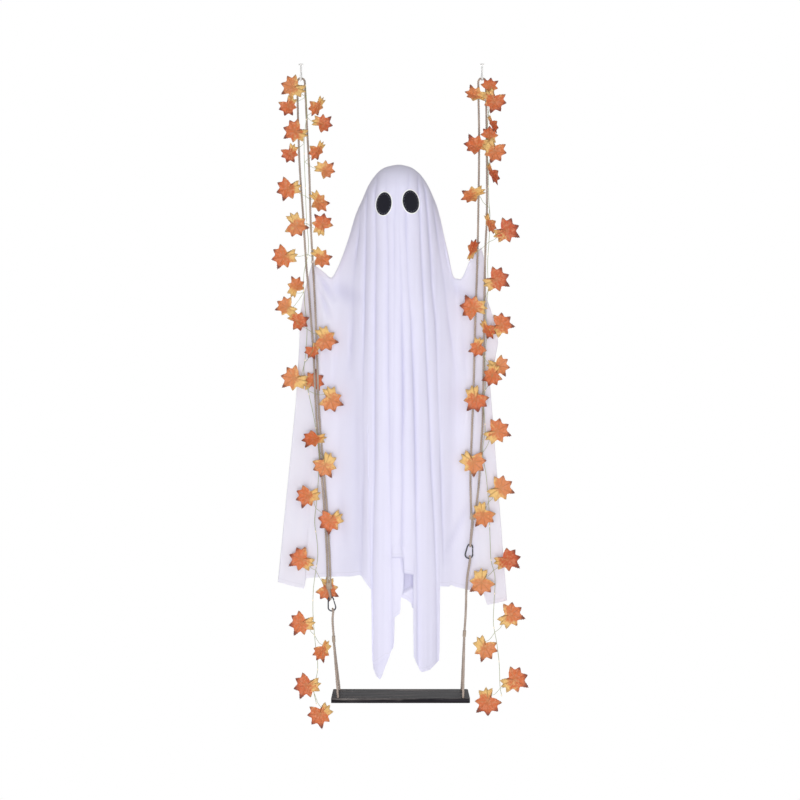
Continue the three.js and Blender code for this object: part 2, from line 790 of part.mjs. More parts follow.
function column(index, back) {
  const [ridgeX, ridgeDown, frontHemX, frontHemDown, fold] = columnShares[index];
  const along = index / (columns - 1);
  const [first, last] = [columnShares[0], columnShares[columns - 1]];
  const evenHemX = THREE.MathUtils.lerp(first[2], last[2], along);
  const hemX = back ? (frontHemX + evenHemX) / 2 : frontHemX;
  const hemDown = back ? between(backHemShares, along) : frontHemDown;
  return {
    ridgeX: headAcross + ridgeX * sheetWidth,
    ridgeZ: sheetTop - ridgeDown * sheetDrop,
    hemX: headAcross + hemX * sheetWidth,
    drop: (hemDown - ridgeDown) * sheetDrop,
    fold: back ? -fold : fold,
  };
}

function rowDrop(row, drop) {
  if (row < crownAngles.length) {
    return crownRadius * (1 - Math.cos(THREE.MathUtils.degToRad(crownAngles[row])));
  }
  return crownRadius + lowerRowShares[row - crownAngles.length] * (drop - crownRadius);
}

function clothPoint(index, row, back) {
  const { ridgeX, ridgeZ, hemX, drop, fold } = column(index, back);
  const down = rowDrop(row, drop);
  const share = down / drop;
  const leftFade = edgeFadeShares[index] ?? 0;
  const rightFade = edgeFadeShares[columns - 1 - index] ?? 0;
  const swing = leftFade * between(leftEdgeShares, share) + rightFade * between(rightEdgeShares, share);
  const x = THREE.MathUtils.lerp(ridgeX, hemX, share) + swing * sheetWidth;
  const z = ridgeZ - down;
  const outermost = index === 0 || index === columns - 1;
  if (row === 0 || outermost) {
    return new THREE.Vector3(x, ghostBack, z);
  }
  const spread = THREE.MathUtils.smoothstep(-headDrop - z, 0, drapeSpread);
  const halfWidth = THREE.MathUtils.lerp(crownRadius, drapeHalfWidth, spread);
  const fullDepth = THREE.MathUtils.lerp(crownRadius, back ? drapeBack : drapeFront, spread);
  const aside = (x - headAcross) / halfWidth;
  const ridgeAside = Math.min(1, Math.abs(ridgeX - headAcross) / crownRadius);
  const columnRound = Math.max(panelRound, crownRadius * Math.sqrt(1 - ridgeAside ** 2));
  const drape = fullDepth * Math.sqrt(Math.max(0, 1 - aside ** 2)) * opens(down / columnRound);
  const panel = (back ? panelBack : panelFront) * opens(down / panelRound);
  const wave = fold * foldDepth * THREE.MathUtils.smoothstep(down - foldStart, 0, foldLength);
  const depth = Math.hypot(drape, panel) + wave;
  return new THREE.Vector3(x, ghostBack + (back ? depth : -depth), z);
}

const rows = crownAngles.length + lowerRowShares.length;

// One layer of the cloth, moved outwards along its normals; a point is named by column, row and panel
function clothLayer(offset, rowCount) {
  const points = [];
  const numbers = new Map();
  const number = (index, row, back) => {
    const shared = row === 0 || index === 0 || index === columns - 1;
    const key = `${index} ${row} ${shared ? false : back}`;
    if (!numbers.has(key)) {
      numbers.set(key, points.length);
      points.push(clothPoint(index, row, shared ? false : back));
    }
    return numbers.get(key);
  };
  const faces = [];
  for (const back of [false, true]) {
    for (let index = 0; index < columns - 1; index += 1) {
      for (let row = 0; row < rowCount - 1; row += 1) {
        const corners = [
          number(index, row, back),
          number(index, row + 1, back),
          number(index + 1, row + 1, back),
          number(index + 1, row, back),
        ];
        const [a, b, c, d] = back ? corners.reverse() : corners;
        faces.push([a, b, c], [a, c, d]);
      }
    }
  }
  const whole = faces.filter((face) => new Set(face).size === 3);
  const geometry = new THREE.BufferGeometry().setFromPoints(points);
  geometry.setIndex(whole.flat());
  geometry.computeVertexNormals();
  const normals = geometry.attributes.normal;
  const moved = points.map((point, i) =>
    point.clone().addScaledVector(new THREE.Vector3().fromBufferAttribute(normals, i), offset),
  );
  return { points: moved, faces: whole, number };
}

function fromFaces(points, faces) {
  const geometry = new THREE.BufferGeometry().setFromPoints(points);
  geometry.setIndex(faces.filter((face) => new Set(face).size === 3).flat());
  return geometry;
}

function clothShell() {
  const outer = clothLayer(0, rows);
  const inner = clothLayer(-clothThickness, rows);
  const shift = outer.points.length;
  const faces = [...outer.faces];
  for (const [a, b, c] of inner.faces) {
    faces.push([shift + a, shift + c, shift + b]);
  }
  for (const back of [false, true]) {
    for (let index = 0; index < columns - 1; index += 1) {
      let a = outer.number(index, rows - 1, back);
      let b = outer.number(index + 1, rows - 1, back);
      if (back) {
        [a, b] = [b, a];
      }
      faces.push([b, a, shift + a], [b, shift + a, shift + b]);
    }
  }
  return fromFaces([...outer.points, ...inner.points], faces);
}

// The space inside one layer, closed below a row
function clothSpace(offset, rowCount) {
  const layer = clothLayer(offset, rowCount);
  const faces = [...layer.faces];
  for (let index = 0; index < columns - 1; index += 1) {
    const [frontA, frontB] = [0, 1].map((step) => layer.number(index + step, rowCount - 1, false));
    const [backA, backB] = [0, 1].map((step) => layer.number(index + step, rowCount - 1, true));
    faces.push([frontB, frontA, backA], [frontB, backA, backB]);
  }
  return fromFaces(layer.points, faces);
}

function ridgeHeight(x) {
  const ridge = columnShares.map(([across, down]) => [
    headAcross + across * sheetWidth,
    sheetTop - down * sheetDrop,
  ]);
  return between(ridge, x);
}

// Felt eye: an oval of felt bent to the cloth
function eye(side) {
  const oval = new THREE.Shape();
  oval.absellipse(0, 0, eyeWidth[side] / 2, eyeHeight[side] / 2, 0, 2 * Math.PI, false, 0);
  const throughCloth = { depth: eyeDepth, bevelEnabled: false, curveSegments: 10 };
  const cutter = new THREE.ExtrudeGeometry(oval, throughCloth)
    .rotateX(Math.PI / 2)
    .rotateY(eyeLean[side])
    .translate(eyeAcross[side], ghostBack - crownRadius + eyeDepth / 2, -eyeDrop[side]);
  const near = solid(clothSpace(clearance, eyeRow + 1));
  const far = solid(clothSpace(clearance + feltThickness, eyeRow + 1));
  return shapeOf(far.subtract(near).intersect(solid(cutter)));
}

// Head: a thin ball with a collar, open at the bottom for the rod

function headBall() {
  const collarRadius = neckRodRadius + clearance;
  const outerCollar = collarRadius + headWall;
  const profile = [];
  const steps = 10;
  const outerEnd = Math.PI - Math.asin(outerCollar / headRadius);
  for (let i = 0; i <= steps; i += 1) {
    const angle = (outerEnd * i) / steps;
    profile.push(new THREE.Vector2(headRadius * Math.sin(angle), headRadius * Math.cos(angle)));
  }
  const mouth = -headRadius - neckLength;
  profile.push(new THREE.Vector2(outerCollar, mouth), new THREE.Vector2(collarRadius, mouth));
  const innerRadius = headRadius - headWall;
  const innerEnd = Math.PI - Math.asin(collarRadius / innerRadius);
  for (let i = steps; i >= 0; i -= 1) {
    const angle = (innerEnd * i) / steps;
    profile.push(new THREE.Vector2(innerRadius * Math.sin(angle), innerRadius * Math.cos(angle)));
  }
  profile[0].x = 0;
  profile.at(-1).x = 0;
  return new THREE.LatheGeometry(profile.reverse(), 20)
    .rotateX(Math.PI / 2)
    .translate(headAcross, ghostBack, -headDrop);
}

const collarMouth = -headDrop - headRadius - neckLength;
const rodTop = collarMouth + neckRodInside;
const armHeight = -headDrop - armDrop;

function neckRod() {
  const foot = new THREE.Vector3(headAcross, ghostBack, rodTop - neckRodLength);
  const rod = post(neckRodRadius, neckRodLength, 16, foot);
  const bore = new THREE.CylinderGeometry(
    armWireRadius + clearance,
    armWireRadius + clearance,
    2 * (neckRodRadius + overrun),
    12,
  )
    .rotateZ(Math.PI / 2)
    .translate(headAcross, ghostBack, armHeight);
  return cut(rod, bore);
}

// Rings at the hands, and the line through both, about which the ghost sways
const handSigns = { left: -1, right: 1 };

function ringCentre(side) {
  const rope = place(handRopeShares[side]);
  const x = rope.x - handSigns[side] * ringReach;
  return new THREE.Vector3(x, ghostBack, ridgeHeight(x) + ringLift);
}

const ringCentres = { left: ringCentre("left"), right: ringCentre("right") };
const swayAxis = ringCentres.right.clone().sub(ringCentres.left).normalize();

function notch(side) {
  const sign = handSigns[side];
  const half = side === "left" ? columnShares.slice(0, columns / 2) : columnShares.slice(columns / 2);
  const lowest = half.reduce((low, entry) => (entry[1] > low[1] ? entry : low));
  return new THREE.Vector3(
    headAcross + lowest[0] * sheetWidth - sign * armNotchDrop,
    ghostBack,
    sheetTop - lowest[1] * sheetDrop - armNotchDrop,
  );
}

function armPoints() {
  const hand = (side) => {
    const centre = ringCentres[side];
    const down = centre.clone().addScaledVector(Z, -ringRadius);
    const bend = centre.clone().addScaledVector(Z, -ringRadius - 2 * ringLift);
    return [down, bend];
  };
  const [leftTop, leftBend] = hand("left");
  const [rightTop, rightBend] = hand("right");
  const straight = 3 * neckRodRadius;
  return [
    leftTop,
    leftBend,
    notch("left"),
    new THREE.Vector3(headAcross - straight, ghostBack, armHeight),
    new THREE.Vector3(headAcross + straight, ghostBack, armHeight),
    notch("right"),
    rightBend,
    rightTop,
  ];
}

function ring(side) {
  const turn = new THREE.Quaternion().setFromUnitVectors(Z, swayAxis);
  return new THREE.TorusGeometry(ringRadius, armWireRadius, 8, 16)
    .applyQuaternion(turn)
    .translate(...ringCentres[side].toArray());
}

function armWire() {
  return joined(tube(armPoints(), armWireRadius, 8), ring("left"), ring("right"));
}

function ghostSheet() {
  return cut(clothShell(), tube(armPoints(), armWireRadius + wireHoleGap, 8));
}

// String loop round the rope and through the ring
function handTie(side) {
  const ropeTurn = ropeRadius + clearance + tieStringRadius;
  const ringTurn = armWireRadius + clearance + tieStringRadius;
  const centre = ringCentres[side];
  const front = place(handRopeShares[side]).setZ(centre.z);
  const back = centre.clone().addScaledVector(Y, -ringTurn);
  const across = back.clone().sub(front);
  const heading = THREE.MathUtils.radToDeg(Math.atan2(across.y, across.x));
  const lean = THREE.MathUtils.radToDeg(Math.acos((ropeTurn - ringTurn) / across.length()));
  const points = [
    ...arc(front, ropeTurn, X, Y, heading + lean, heading - lean + 2 * halfTurn, 10),
    ...arc(back, ringTurn, X, Y, heading - lean, heading + lean, 8),
  ];
  return loop(points, tieStringRadius, 6);
}

// Battery and receiver case, on the lower end of the neck rod

const caseInnerWidth = cellCount * 2 * cellRadius + (cellCount + 1) * cellGap;
const caseInnerDepth = 2 * cellRadius + 2 * cellGap;
const caseWidth = caseInnerWidth + 2 * caseWall;
const caseHeight = cellLength + 2 * cellGap + receiverHeight + 3 * caseWall;
const caseDepth = caseInnerDepth + caseWall;
const rodEnd = rodTop - neckRodLength;
const caseTop = rodEnd - clearance;
const cellMiddle = caseTop - caseWall - cellGap - cellLength / 2;
const receiverMiddle = caseTop - caseHeight + caseWall + receiverHeight / 2;

function batteryCase() {
  const centre = new THREE.Vector3(headAcross, ghostBack, caseTop - caseHeight / 2);
  const body = block(caseWidth, caseDepth, caseHeight, centre);
  const bossFoot = new THREE.Vector3(headAcross, ghostBack, caseTop - caseWall);
  const boss = post(caseBossRadius, caseBossHeight, 16, bossFoot);
  const socket = post(
    neckRodRadius + clearance,
    caseBossHeight + overrun,
    16,
    new THREE.Vector3(headAcross, ghostBack, caseTop),
  );
  const shift = (caseWall + overrun) / 2;
  const cells = block(
    caseInnerWidth,
    caseInnerDepth + overrun,
    cellLength + 2 * cellGap,
    new THREE.Vector3(headAcross, ghostBack + shift, cellMiddle),
  );
  const receiver = block(
    caseInnerWidth,
    caseInnerDepth + overrun,
    receiverHeight,
    new THREE.Vector3(headAcross, ghostBack + shift, receiverMiddle),
  );
  const buttonHole = crossPin(
    buttonRadius + clearance,
    caseDepth,
    16,
    new THREE.Vector3(headAcross, ghostBack - caseDepth / 2, receiverMiddle),
  );
  return cut(joined(body, boss), socket, cells, receiver, buttonHole);
}

function batteryLid() {
  const centre = new THREE.Vector3(
    headAcross,
    ghostBack + caseDepth / 2 + clearance + lidThickness / 2,
    caseTop - caseHeight / 2,
  );
  const plate = block(caseWidth, lidThickness, caseHeight, centre);
  const lip = block(
    caseInnerWidth - 2 * clearance,
    2 * lidThickness,
    receiverHeight - 2 * clearance,
    new THREE.Vector3(headAcross, centre.y - lidThickness / 2, receiverMiddle),
  );
  return joined(plate, lip);
}

function batteryCell(index) {
  const pitch = 2 * cellRadius + cellGap;
  const x = headAcross + (index - (cellCount - 1) / 2) * pitch;
  const y = ghostBack - caseDepth / 2 + caseWall + clearance + cellRadius;
  const nub = cellGap;
  const bottom = new THREE.Vector3(x, y, cellMiddle - cellLength / 2);
  const body = post(cellRadius, cellLength - nub, 14, bottom);
  const shoulder = new THREE.Vector3(x, y, cellMiddle + cellLength / 2 - 2 * nub);
  const top = post(cellRadius / 3, 2 * nub, 10, shoulder);
  return joined(body, top);
}

function pushButton() {
  const outside = ghostBack - caseDepth / 2 - buttonStand;
  const stemEnd = ghostBack - caseDepth / 2 + caseWall + clearance;
  const cap = crossPin(
    buttonRadius,
    stemEnd - outside,
    16,
    new THREE.Vector3(headAcross, (outside + stemEnd) / 2, receiverMiddle),
  );
  const flange = crossPin(
    buttonRadius + caseWall,
    caseWall,
    16,
    new THREE.Vector3(headAcross, stemEnd + caseWall / 2, receiverMiddle),
  );
  return joined(cap, flange);
}

// Garlands

const wireFront = -(ropeRadius + wireRadius + clearance);

function wirePoints(side) {
  return wireShares[side].map((share) => place(share).addScaledVector(Y, wireFront));
}

function wireAt(side, down) {
  const table = wireShares[side].map(([across, drop]) => [drop, across]);
  return place([between(table, down), down]).addScaledVector(Y, wireFront);
}

function garlandWire(side) {
  return tube(wirePoints(side), wireRadius, 6);
}

// Leaf of eight points with one deep notch, folded along its midrib and cupped forward
function leaf(side, [across, down, turn, size, fold, layers]) {
  const edge = leafEdgeShares.map(([x, z]) => [x * leafSpan * size, z * leafSpan * size]);
  const outline = side === "left" ? edge : edge.map(([x, z]) => [-x, z]).reverse();
  const lean = THREE.MathUtils.degToRad(fold);
  const cup = layers > 0 ? leafCup : 0;
  const bent = ([x, z], back) => {
    const reach = Math.hypot(x, z) / (leafSpan / 2);
    const forward = Math.abs(x) * Math.sin(lean) + cup * reach ** 2 - leafThickness / 2;
    return new THREE.Vector3(x * Math.cos(lean), back ? -forward : -forward - leafThickness, z);
  };
  const middle = [0, -leafThickness];
  const points = [];
  for (const back of [false, true]) {
    points.push(...[middle, ...outline].map((point) => bent(point, back)));
  }
  const count = outline.length;
  const faces = [];
  for (let i = 0; i < count; i += 1) {
    const [a, b] = [1 + i, 1 + ((i + 1) % count)];
    const shift = count + 1;
    faces.push([0, b, a], [shift, shift + a, shift + b], [a, b, shift + b], [a, shift + b, shift + a]);
  }
  return fromFaces(points, faces)
    .rotateY(THREE.MathUtils.degToRad(90 - turn))
    .translate(across * hangSpan, leanAt(-down * seatDrop) - layers * leafLayer, -down * seatDrop);
}

function sprig(side, { at, leaves }) {
  const root = wireAt(side, at);
  root.y -= wireRadius + clearance + beadRadius;
  const pieces = [new THREE.OctahedronGeometry(beadRadius).translate(root.x, root.y, root.z)];
  for (const entry of leaves) {
    const [across, down, turn, size, , layers] = entry;
    const angle = THREE.MathUtils.degToRad(turn);
    const inset = stemEndShare * leafSpan * size;
    const foot = place([across, down]).addScaledVector(Y, -layers * leafLayer);
    foot.x -= inset * Math.cos(angle);
    foot.z -= inset * Math.sin(angle);
    pieces.push(tube([root, foot], stemRadius, 4), leaf(side, entry));
  }
  return joined(...pieces);
}

// The object

const ghostOnSwing = new THREE.Group();
const hung = new THREE.Group();
hung.position.y = -ropeForward;
ghostOnSwing.add(hung);

for (const [side, sign] of [
  ["left", -1],
  ["right", 1],
]) {
  const hook = named(`${side}_ceiling_hook`, ceilingHook(), "hook");
  hook.position.set((sign * hangSpan) / 2, ropeForward, 0);
  hung.add(hook);
  hung.add(named(`${side}_upper_rope`, upperRope(side, sign), "rope"));

  const carabiner = new THREE.Group();
  carabiner.position.copy(place(ropeShares[side].carabiner));
  carabiner.rotation.y = carabinerTilts[side];
  const gate = named(`${side}_gate`, gateBody(), "steel");
  const pin = named(`${side}_gate_pin`, gatePin(), "steel");
  gate.position.copy(gateFoot);
  pin.position.copy(gateFoot);
  carabiner.add(named(`${side}_carabiner`, carabinerBody(), "steel"), gate, pin);
  hung.add(carabiner);

  hung.add(named(`${side}_lower_rope`, lowerRope(side), "rope"));
  hung.add(named(`${side}_hand_tie`, handTie(side), "string"));
  hung.add(named(`${side}_eye`, eye(side), "felt"));
  hung.add(named(`${side}_garland_wire`, garlandWire(side), "wire"));
  sprigShares[side].forEach((entry, index) => {
    const number = String(index + 1).padStart(2, "0");
    hung.add(named(`${side}_sprig_${number}`, sprig(side, entry), "leaf"));
  });
}

hung.add(named("swing_seat", seatBoard(), "board"));
hung.add(named("head_ball", headBall(), "ball"));
hung.add(named("neck_rod", neckRod(), "rod"));
hung.add(named("arm_wire", armWire(), "steel"));
hung.add(named("ghost_sheet", ghostSheet(), "cloth"));
hung.add(named("battery_case", batteryCase(), "plastic"));
hung.add(named("battery_lid", batteryLid(), "plastic"));
hung.add(named("power_button", pushButton(), "button"));
for (let index = 0; index < cellCount; index += 1) {
  hung.add(named(`battery_cell_${index + 1}`, batteryCell(index), "cell"));
}

export default ghostOnSwing;
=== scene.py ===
"""Looks of a hanging sheet ghost on a rope swing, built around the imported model. Lengths are in metres."""

import logging
import math
from collections.abc import Iterable, Sequence
from dataclasses import dataclass
from enum import Enum

import bmesh
import bpy
import numpy as np
from mathutils import Matrix, Vector
from mathutils.bvhtree import BVHTree
from mathutils.noise import noise as solid_noise


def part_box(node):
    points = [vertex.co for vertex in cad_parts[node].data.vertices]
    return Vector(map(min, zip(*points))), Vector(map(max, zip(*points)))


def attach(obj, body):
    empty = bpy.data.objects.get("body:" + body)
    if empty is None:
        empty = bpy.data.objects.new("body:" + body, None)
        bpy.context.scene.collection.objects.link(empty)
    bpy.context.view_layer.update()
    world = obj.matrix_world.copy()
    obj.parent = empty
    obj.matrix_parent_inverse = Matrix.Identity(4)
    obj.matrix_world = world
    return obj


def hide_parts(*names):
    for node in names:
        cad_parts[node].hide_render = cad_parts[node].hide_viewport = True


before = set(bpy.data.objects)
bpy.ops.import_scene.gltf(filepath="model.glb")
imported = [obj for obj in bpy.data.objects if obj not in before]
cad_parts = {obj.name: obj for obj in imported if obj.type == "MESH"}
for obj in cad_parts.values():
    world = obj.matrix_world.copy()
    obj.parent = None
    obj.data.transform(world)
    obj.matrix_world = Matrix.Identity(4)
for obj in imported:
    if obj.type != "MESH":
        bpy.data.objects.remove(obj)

log = logging.getLogger("ghost")
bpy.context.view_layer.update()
Colour = tuple[float, float, float]
Shares = Sequence[Sequence[float]]


class Side(Enum):
    """The two sides of the swing, as seen from the front."""

    LEFT = "left"
    RIGHT = "right"

    @property
    def sign(self) -> int:
        """-1 on the left and 1 on the right."""
        return -1 if self is Side.LEFT else 1


# Node building


class Signal:
    """A value in a node tree. Sums on it add their Math nodes."""

    def __init__(self, nodes: "Nodes", socket: bpy.types.NodeSocket) -> None:
        """Keeps the socket and the tree that it belongs to."""
        self.nodes = nodes
        self.socket = socket

    def __add__(self, other: "Signal | float") -> "Signal":
        """Sum."""
        return self.nodes.math("ADD", self, other)

    def __sub__(self, other: "Signal | float") -> "Signal":
        """Difference."""
        return self.nodes.math("SUBTRACT", self, other)

    def __rsub__(self, other: float) -> "Signal":
        """Difference from a number."""
        return self.nodes.math("SUBTRACT", other, self)

    def __mul__(self, other: "Signal | float") -> "Signal":
        """Product."""
        return self.nodes.math("MULTIPLY", self, other)

    __radd__ = __add__
    __rmul__ = __mul__

    def clamped(self) -> "Signal":
        """The value kept between 0 and 1."""
        return self.nodes.math("ADD", self, 0.0, clamp=True)

    def step(self, start: float, end: float) -> "Signal":
        """Smooth step of the value, from 0 at start to 1 at end."""
        return self.nodes.node(
            "ShaderNodeMapRange",
            {"interpolation_type": "SMOOTHSTEP"},
            {"Value": self, "From Min": start, "From Max": end},
            "Result",
        )

    def other(self, output: int | str) -> "Signal":
        """Another output of the same node."""
        return Signal(self.nodes, self.socket.node.outputs[output])


class Nodes:
    """A node tree under construction."""

    def __init__(self, tree: bpy.types.NodeTree) -> None:
        """Keeps the tree."""
        self.tree = tree

    def feed(self, socket: bpy.types.NodeSocket, value: object) -> None:
        """Links an input to a Signal, or sets it to a plain value."""
        if isinstance(value, Signal):
            self.tree.links.new(value.socket, socket)
        elif isinstance(value, tuple) and len(value) == 3 and socket.type == "RGBA":
            socket.default_value = (*value, 1.0)
        else:
            socket.default_value = value

    def node(
        self, kind: str, settings: dict | None = None, inputs: dict | None = None, output: int | str = 0
    ) -> Signal:
        """Adds a node.

        Args:
            kind: the node's type name.
            settings: its properties; "stops" are the (place, colour) stops of a ramp.
            inputs: a value, a Signal or a list of Signals by socket name or number.
            output: name or number of the output to return.

        Returns:
            One of its outputs.
        """
        made = self.tree.nodes.new(kind)
        for name, value in (settings or {}).items():
            if name != "stops":
                setattr(made, name, value)
                continue
            elements = made.color_ramp.elements
            while len(elements) < len(value):
                elements.new(1.0)
            for element, (place, colour) in zip(elements, value):
                element.position = place
                element.color = (*colour, 1.0)
        for name, value in (inputs or {}).items():
            for part in value if isinstance(value, list) else [value]:
                self.feed(made.inputs[name], part)
        return Signal(self, made.outputs[output])

    def math(self, operation: str, first: object, second: object = 0.0, clamp: bool = False) -> Signal:
        """Adds a Math node."""
        settings = {"operation": operation, "use_clamp": clamp}
        return self.node("ShaderNodeMath", settings, {0: first, 1: second})

    def split(self, vector: Signal) -> list[Signal]:
        """The three numbers of a vector."""
        first = self.node("ShaderNodeSeparateXYZ", None, {0: vector})
        return [first, first.other(1), first.other(2)]

    def joined(self, x: object, y: object, z: object) -> Signal:
        """A vector from three numbers."""
        return self.node("ShaderNodeCombineXYZ", None, {0: x, 1: y, 2: z})

    def seen(self) -> Signal:
        """1 for what the camera sees, also in gloss and through glass, and 0 for the rest."""
        camera = self.node("ShaderNodeLightPath", output="Is Camera Ray")
        return (camera + camera.other("Is Glossy Ray") + camera.other("Is Transmission Ray")).clamped()


class Paint(Nodes):
    """One material and the nodes of its finish."""

    def __init__(self, name: str) -> None:
        """Starts a material with the plain shader."""
        self.material = bpy.data.materials.new(name)
        self.material.use_nodes = True
        super().__init__(self.material.node_tree)

    def place(self) -> Signal:
        """Object coordinates."""
        return self.node("ShaderNodeTexCoord", output="Object")

    def attribute(self, name: str) -> Signal:
        """A number stored on the piece's points."""
        return self.node("ShaderNodeAttribute", {"attribute_name": name}, output="Fac")

    def noise(self, point: Signal, scale: float | Colour, detail: float = 3.0) -> Signal:
        """Noise around 0.5.

        Args:
            point: the pattern's coordinates.
            scale: how many features there are to the metre, in all directions or along each axis.
            detail: how many finer layers it has.

        Returns:
            The noise value.
        """
        if isinstance(scale, tuple):
            point, scale = self.node("ShaderNodeMapping", None, {"Vector": point, "Scale": scale}), 1.0
        inputs = {"Vector": point, "Scale": scale, "Detail": detail, "Roughness": 0.55}
        return self.node("ShaderNodeTexNoise", None, inputs, "Fac")

    def ramp(self, value: Signal, stops: Sequence[tuple[float, Colour]]) -> Signal:
        """Colour of a value along a ramp."""
        return self.node("ShaderNodeValToRGB", {"stops": stops}, {"Fac": value}, "Color")

    def mix(self, factor: object, first: object, second: object, blend: str = "MIX") -> Signal:
        """Mixes two colours."""
        settings = {"data_type": "RGBA", "blend_type": blend}
        return self.node("ShaderNodeMix", settings, {0: factor, 6: first, 7: second}, 2)

    def bump(self, height: Signal, distance: float, strength: float = 1.0) -> Signal:
        """Normal of a height pattern.

        Args:
            height: the pattern, from 0 to 1.
            distance: its depth in metres.
            strength: its share.

        Returns:
            The normal.
        """
        inputs = {"Height": height, "Distance": distance, "Strength": strength}
        return self.node("ShaderNodeBump", None, inputs, "Normal")

    def done(self, **sockets: object) -> bpy.types.Material:
        """Sets the shader's sockets, named with underscores, and returns the material."""
        for name, value in sockets.items():
            self.feed(self.tree.nodes["Principled BSDF"].inputs[name.replace("_", " ")], value)
        return self.material


# Finishes


@dataclass(frozen=True)
class ClothFinish:
    """White woven cloth with painted lavender shade in its folds."""

    name: str = "sheet_cloth"
    light: Colour = (0.80, 0.785, 0.95)
    side: Colour = (0.82, 0.80, 0.89)
    # deep: colour of the painted shade in creases and wrinkles
    deep: Colour = (0.62, 0.605, 0.80)
    thread: Colour = (0.55, 0.53, 0.62)
    weave: float = 900.0
    stitches: float = 330.0
    sheen: float = 0.25
    # Distances from the hem: where its stitched line starts, is full, starts to end, and has ended
    hem_line: tuple[float, float, float, float] = (0.0095, 0.0105, 0.0115, 0.0125)

    def build(self) -> bpy.types.Material:
        """Makes the material."""
        paint = Paint(self.name)
        at = paint.node("ShaderNodeTexCoord", output="UV")
        across, down, _ = paint.split(at)
        threads = [paint.math("SINE", axis * (self.weave * math.tau)) for axis in (across, down)]
        weave = threads[0] * threads[1] * 0.5 + 0.5
        blotch = paint.noise(paint.place(), 9.0, 2.0)
        slubs = paint.noise(at, (60.0, 900.0, 1.0), 2.0)
        # Painted shade: the stored fold value darkens creases towards the deep colour, with random blotches
        # added
        shade_tint = (paint.attribute("fold") + (blotch - 0.5) * 0.25).clamped()
        aside = paint.math("ABSOLUTE", paint.split(paint.place())[0] - 0.02).step(0.1, 0.3)
        colour = paint.mix(shade_tint, self.deep, paint.mix(aside, self.light, self.side))
        stitch = paint.math("SINE", across * (math.tau * self.stitches)).step(-0.2, 0.3)
        hem = paint.attribute("hem")
        line = hem.step(*self.hem_line[:2]) * (1 - hem.step(*self.hem_line[2:])) * stitch
        return paint.done(
            Base_Color=paint.mix(line * 0.35, colour, self.thread),
            Roughness=0.82 + slubs * 0.12,
            Normal=paint.bump(weave * 0.5 + slubs * 0.5 - line * 1.5, 0.00012, 0.6),
            Sheen_Weight=self.sheen,
            Sheen_Roughness=0.5,
            Specular_IOR_Level=0.25,
        )


@dataclass(frozen=True)
class FeltFinish:
    """Matted felt."""

    name: str
    colour: Colour
    fibre: Colour
    thread: Colour = (0.2, 0.2, 0.24)
    sheen: float = 0.15

    def build(self) -> bpy.types.Material:
        """Makes the material."""
        paint = Paint(self.name)
        at = paint.place()
        fuzz = paint.noise(at, 900.0, 6.0)
        hair = paint.noise(at, (400.0, 400.0, 2600.0))
        stitch = paint.attribute("stitch")
        colour = paint.mix((fuzz * hair * 2.0).clamped(), self.colour, self.fibre)
        return paint.done(
            Base_Color=paint.mix(stitch * 0.8, colour, self.thread),
            Roughness=0.96,
            Normal=paint.bump(fuzz * 0.6 + hair * 0.4 - stitch, 0.0004, 0.7),
            Sheen_Weight=self.sheen,
            Specular_IOR_Level=0.15,
        )


@dataclass(frozen=True)
class FibreFinish:
    """Twisted plant fibre, with hairs that follow the strand."""

    name: str
    pale: Colour
    dark: Colour
    depth: float = 0.0005
    brightest: float = 1.35

    def build(self) -> bpy.types.Material:
        """Makes the material."""
        paint = Paint(self.name)
        along, around = paint.attribute("along"), paint.attribute("around")
        hairs = paint.noise(paint.joined(along * 45.0, around * 9.0, around * 2.0), 5.0, 5.0)
        blotch = paint.noise(paint.place(), 22.0, 3.0)
        knots = paint.noise(paint.place(), 420.0, 4.0)
        tone = (hairs * 0.75 + blotch * 0.5 - 0.12).clamped()
        bright = tuple(min(1, c * self.brightest) for c in self.pale)
        return paint.done(
            Base_Color=paint.ramp(tone, [(0.25, self.dark), (0.5, self.pale), (0.8, bright)]),
            Roughness=0.93,
            Normal=paint.bump(hairs * 0.7 + knots * 0.3, self.depth, 0.9),
            Sheen_Weight=0.2,
            Specular_IOR_Level=0.2,
        )


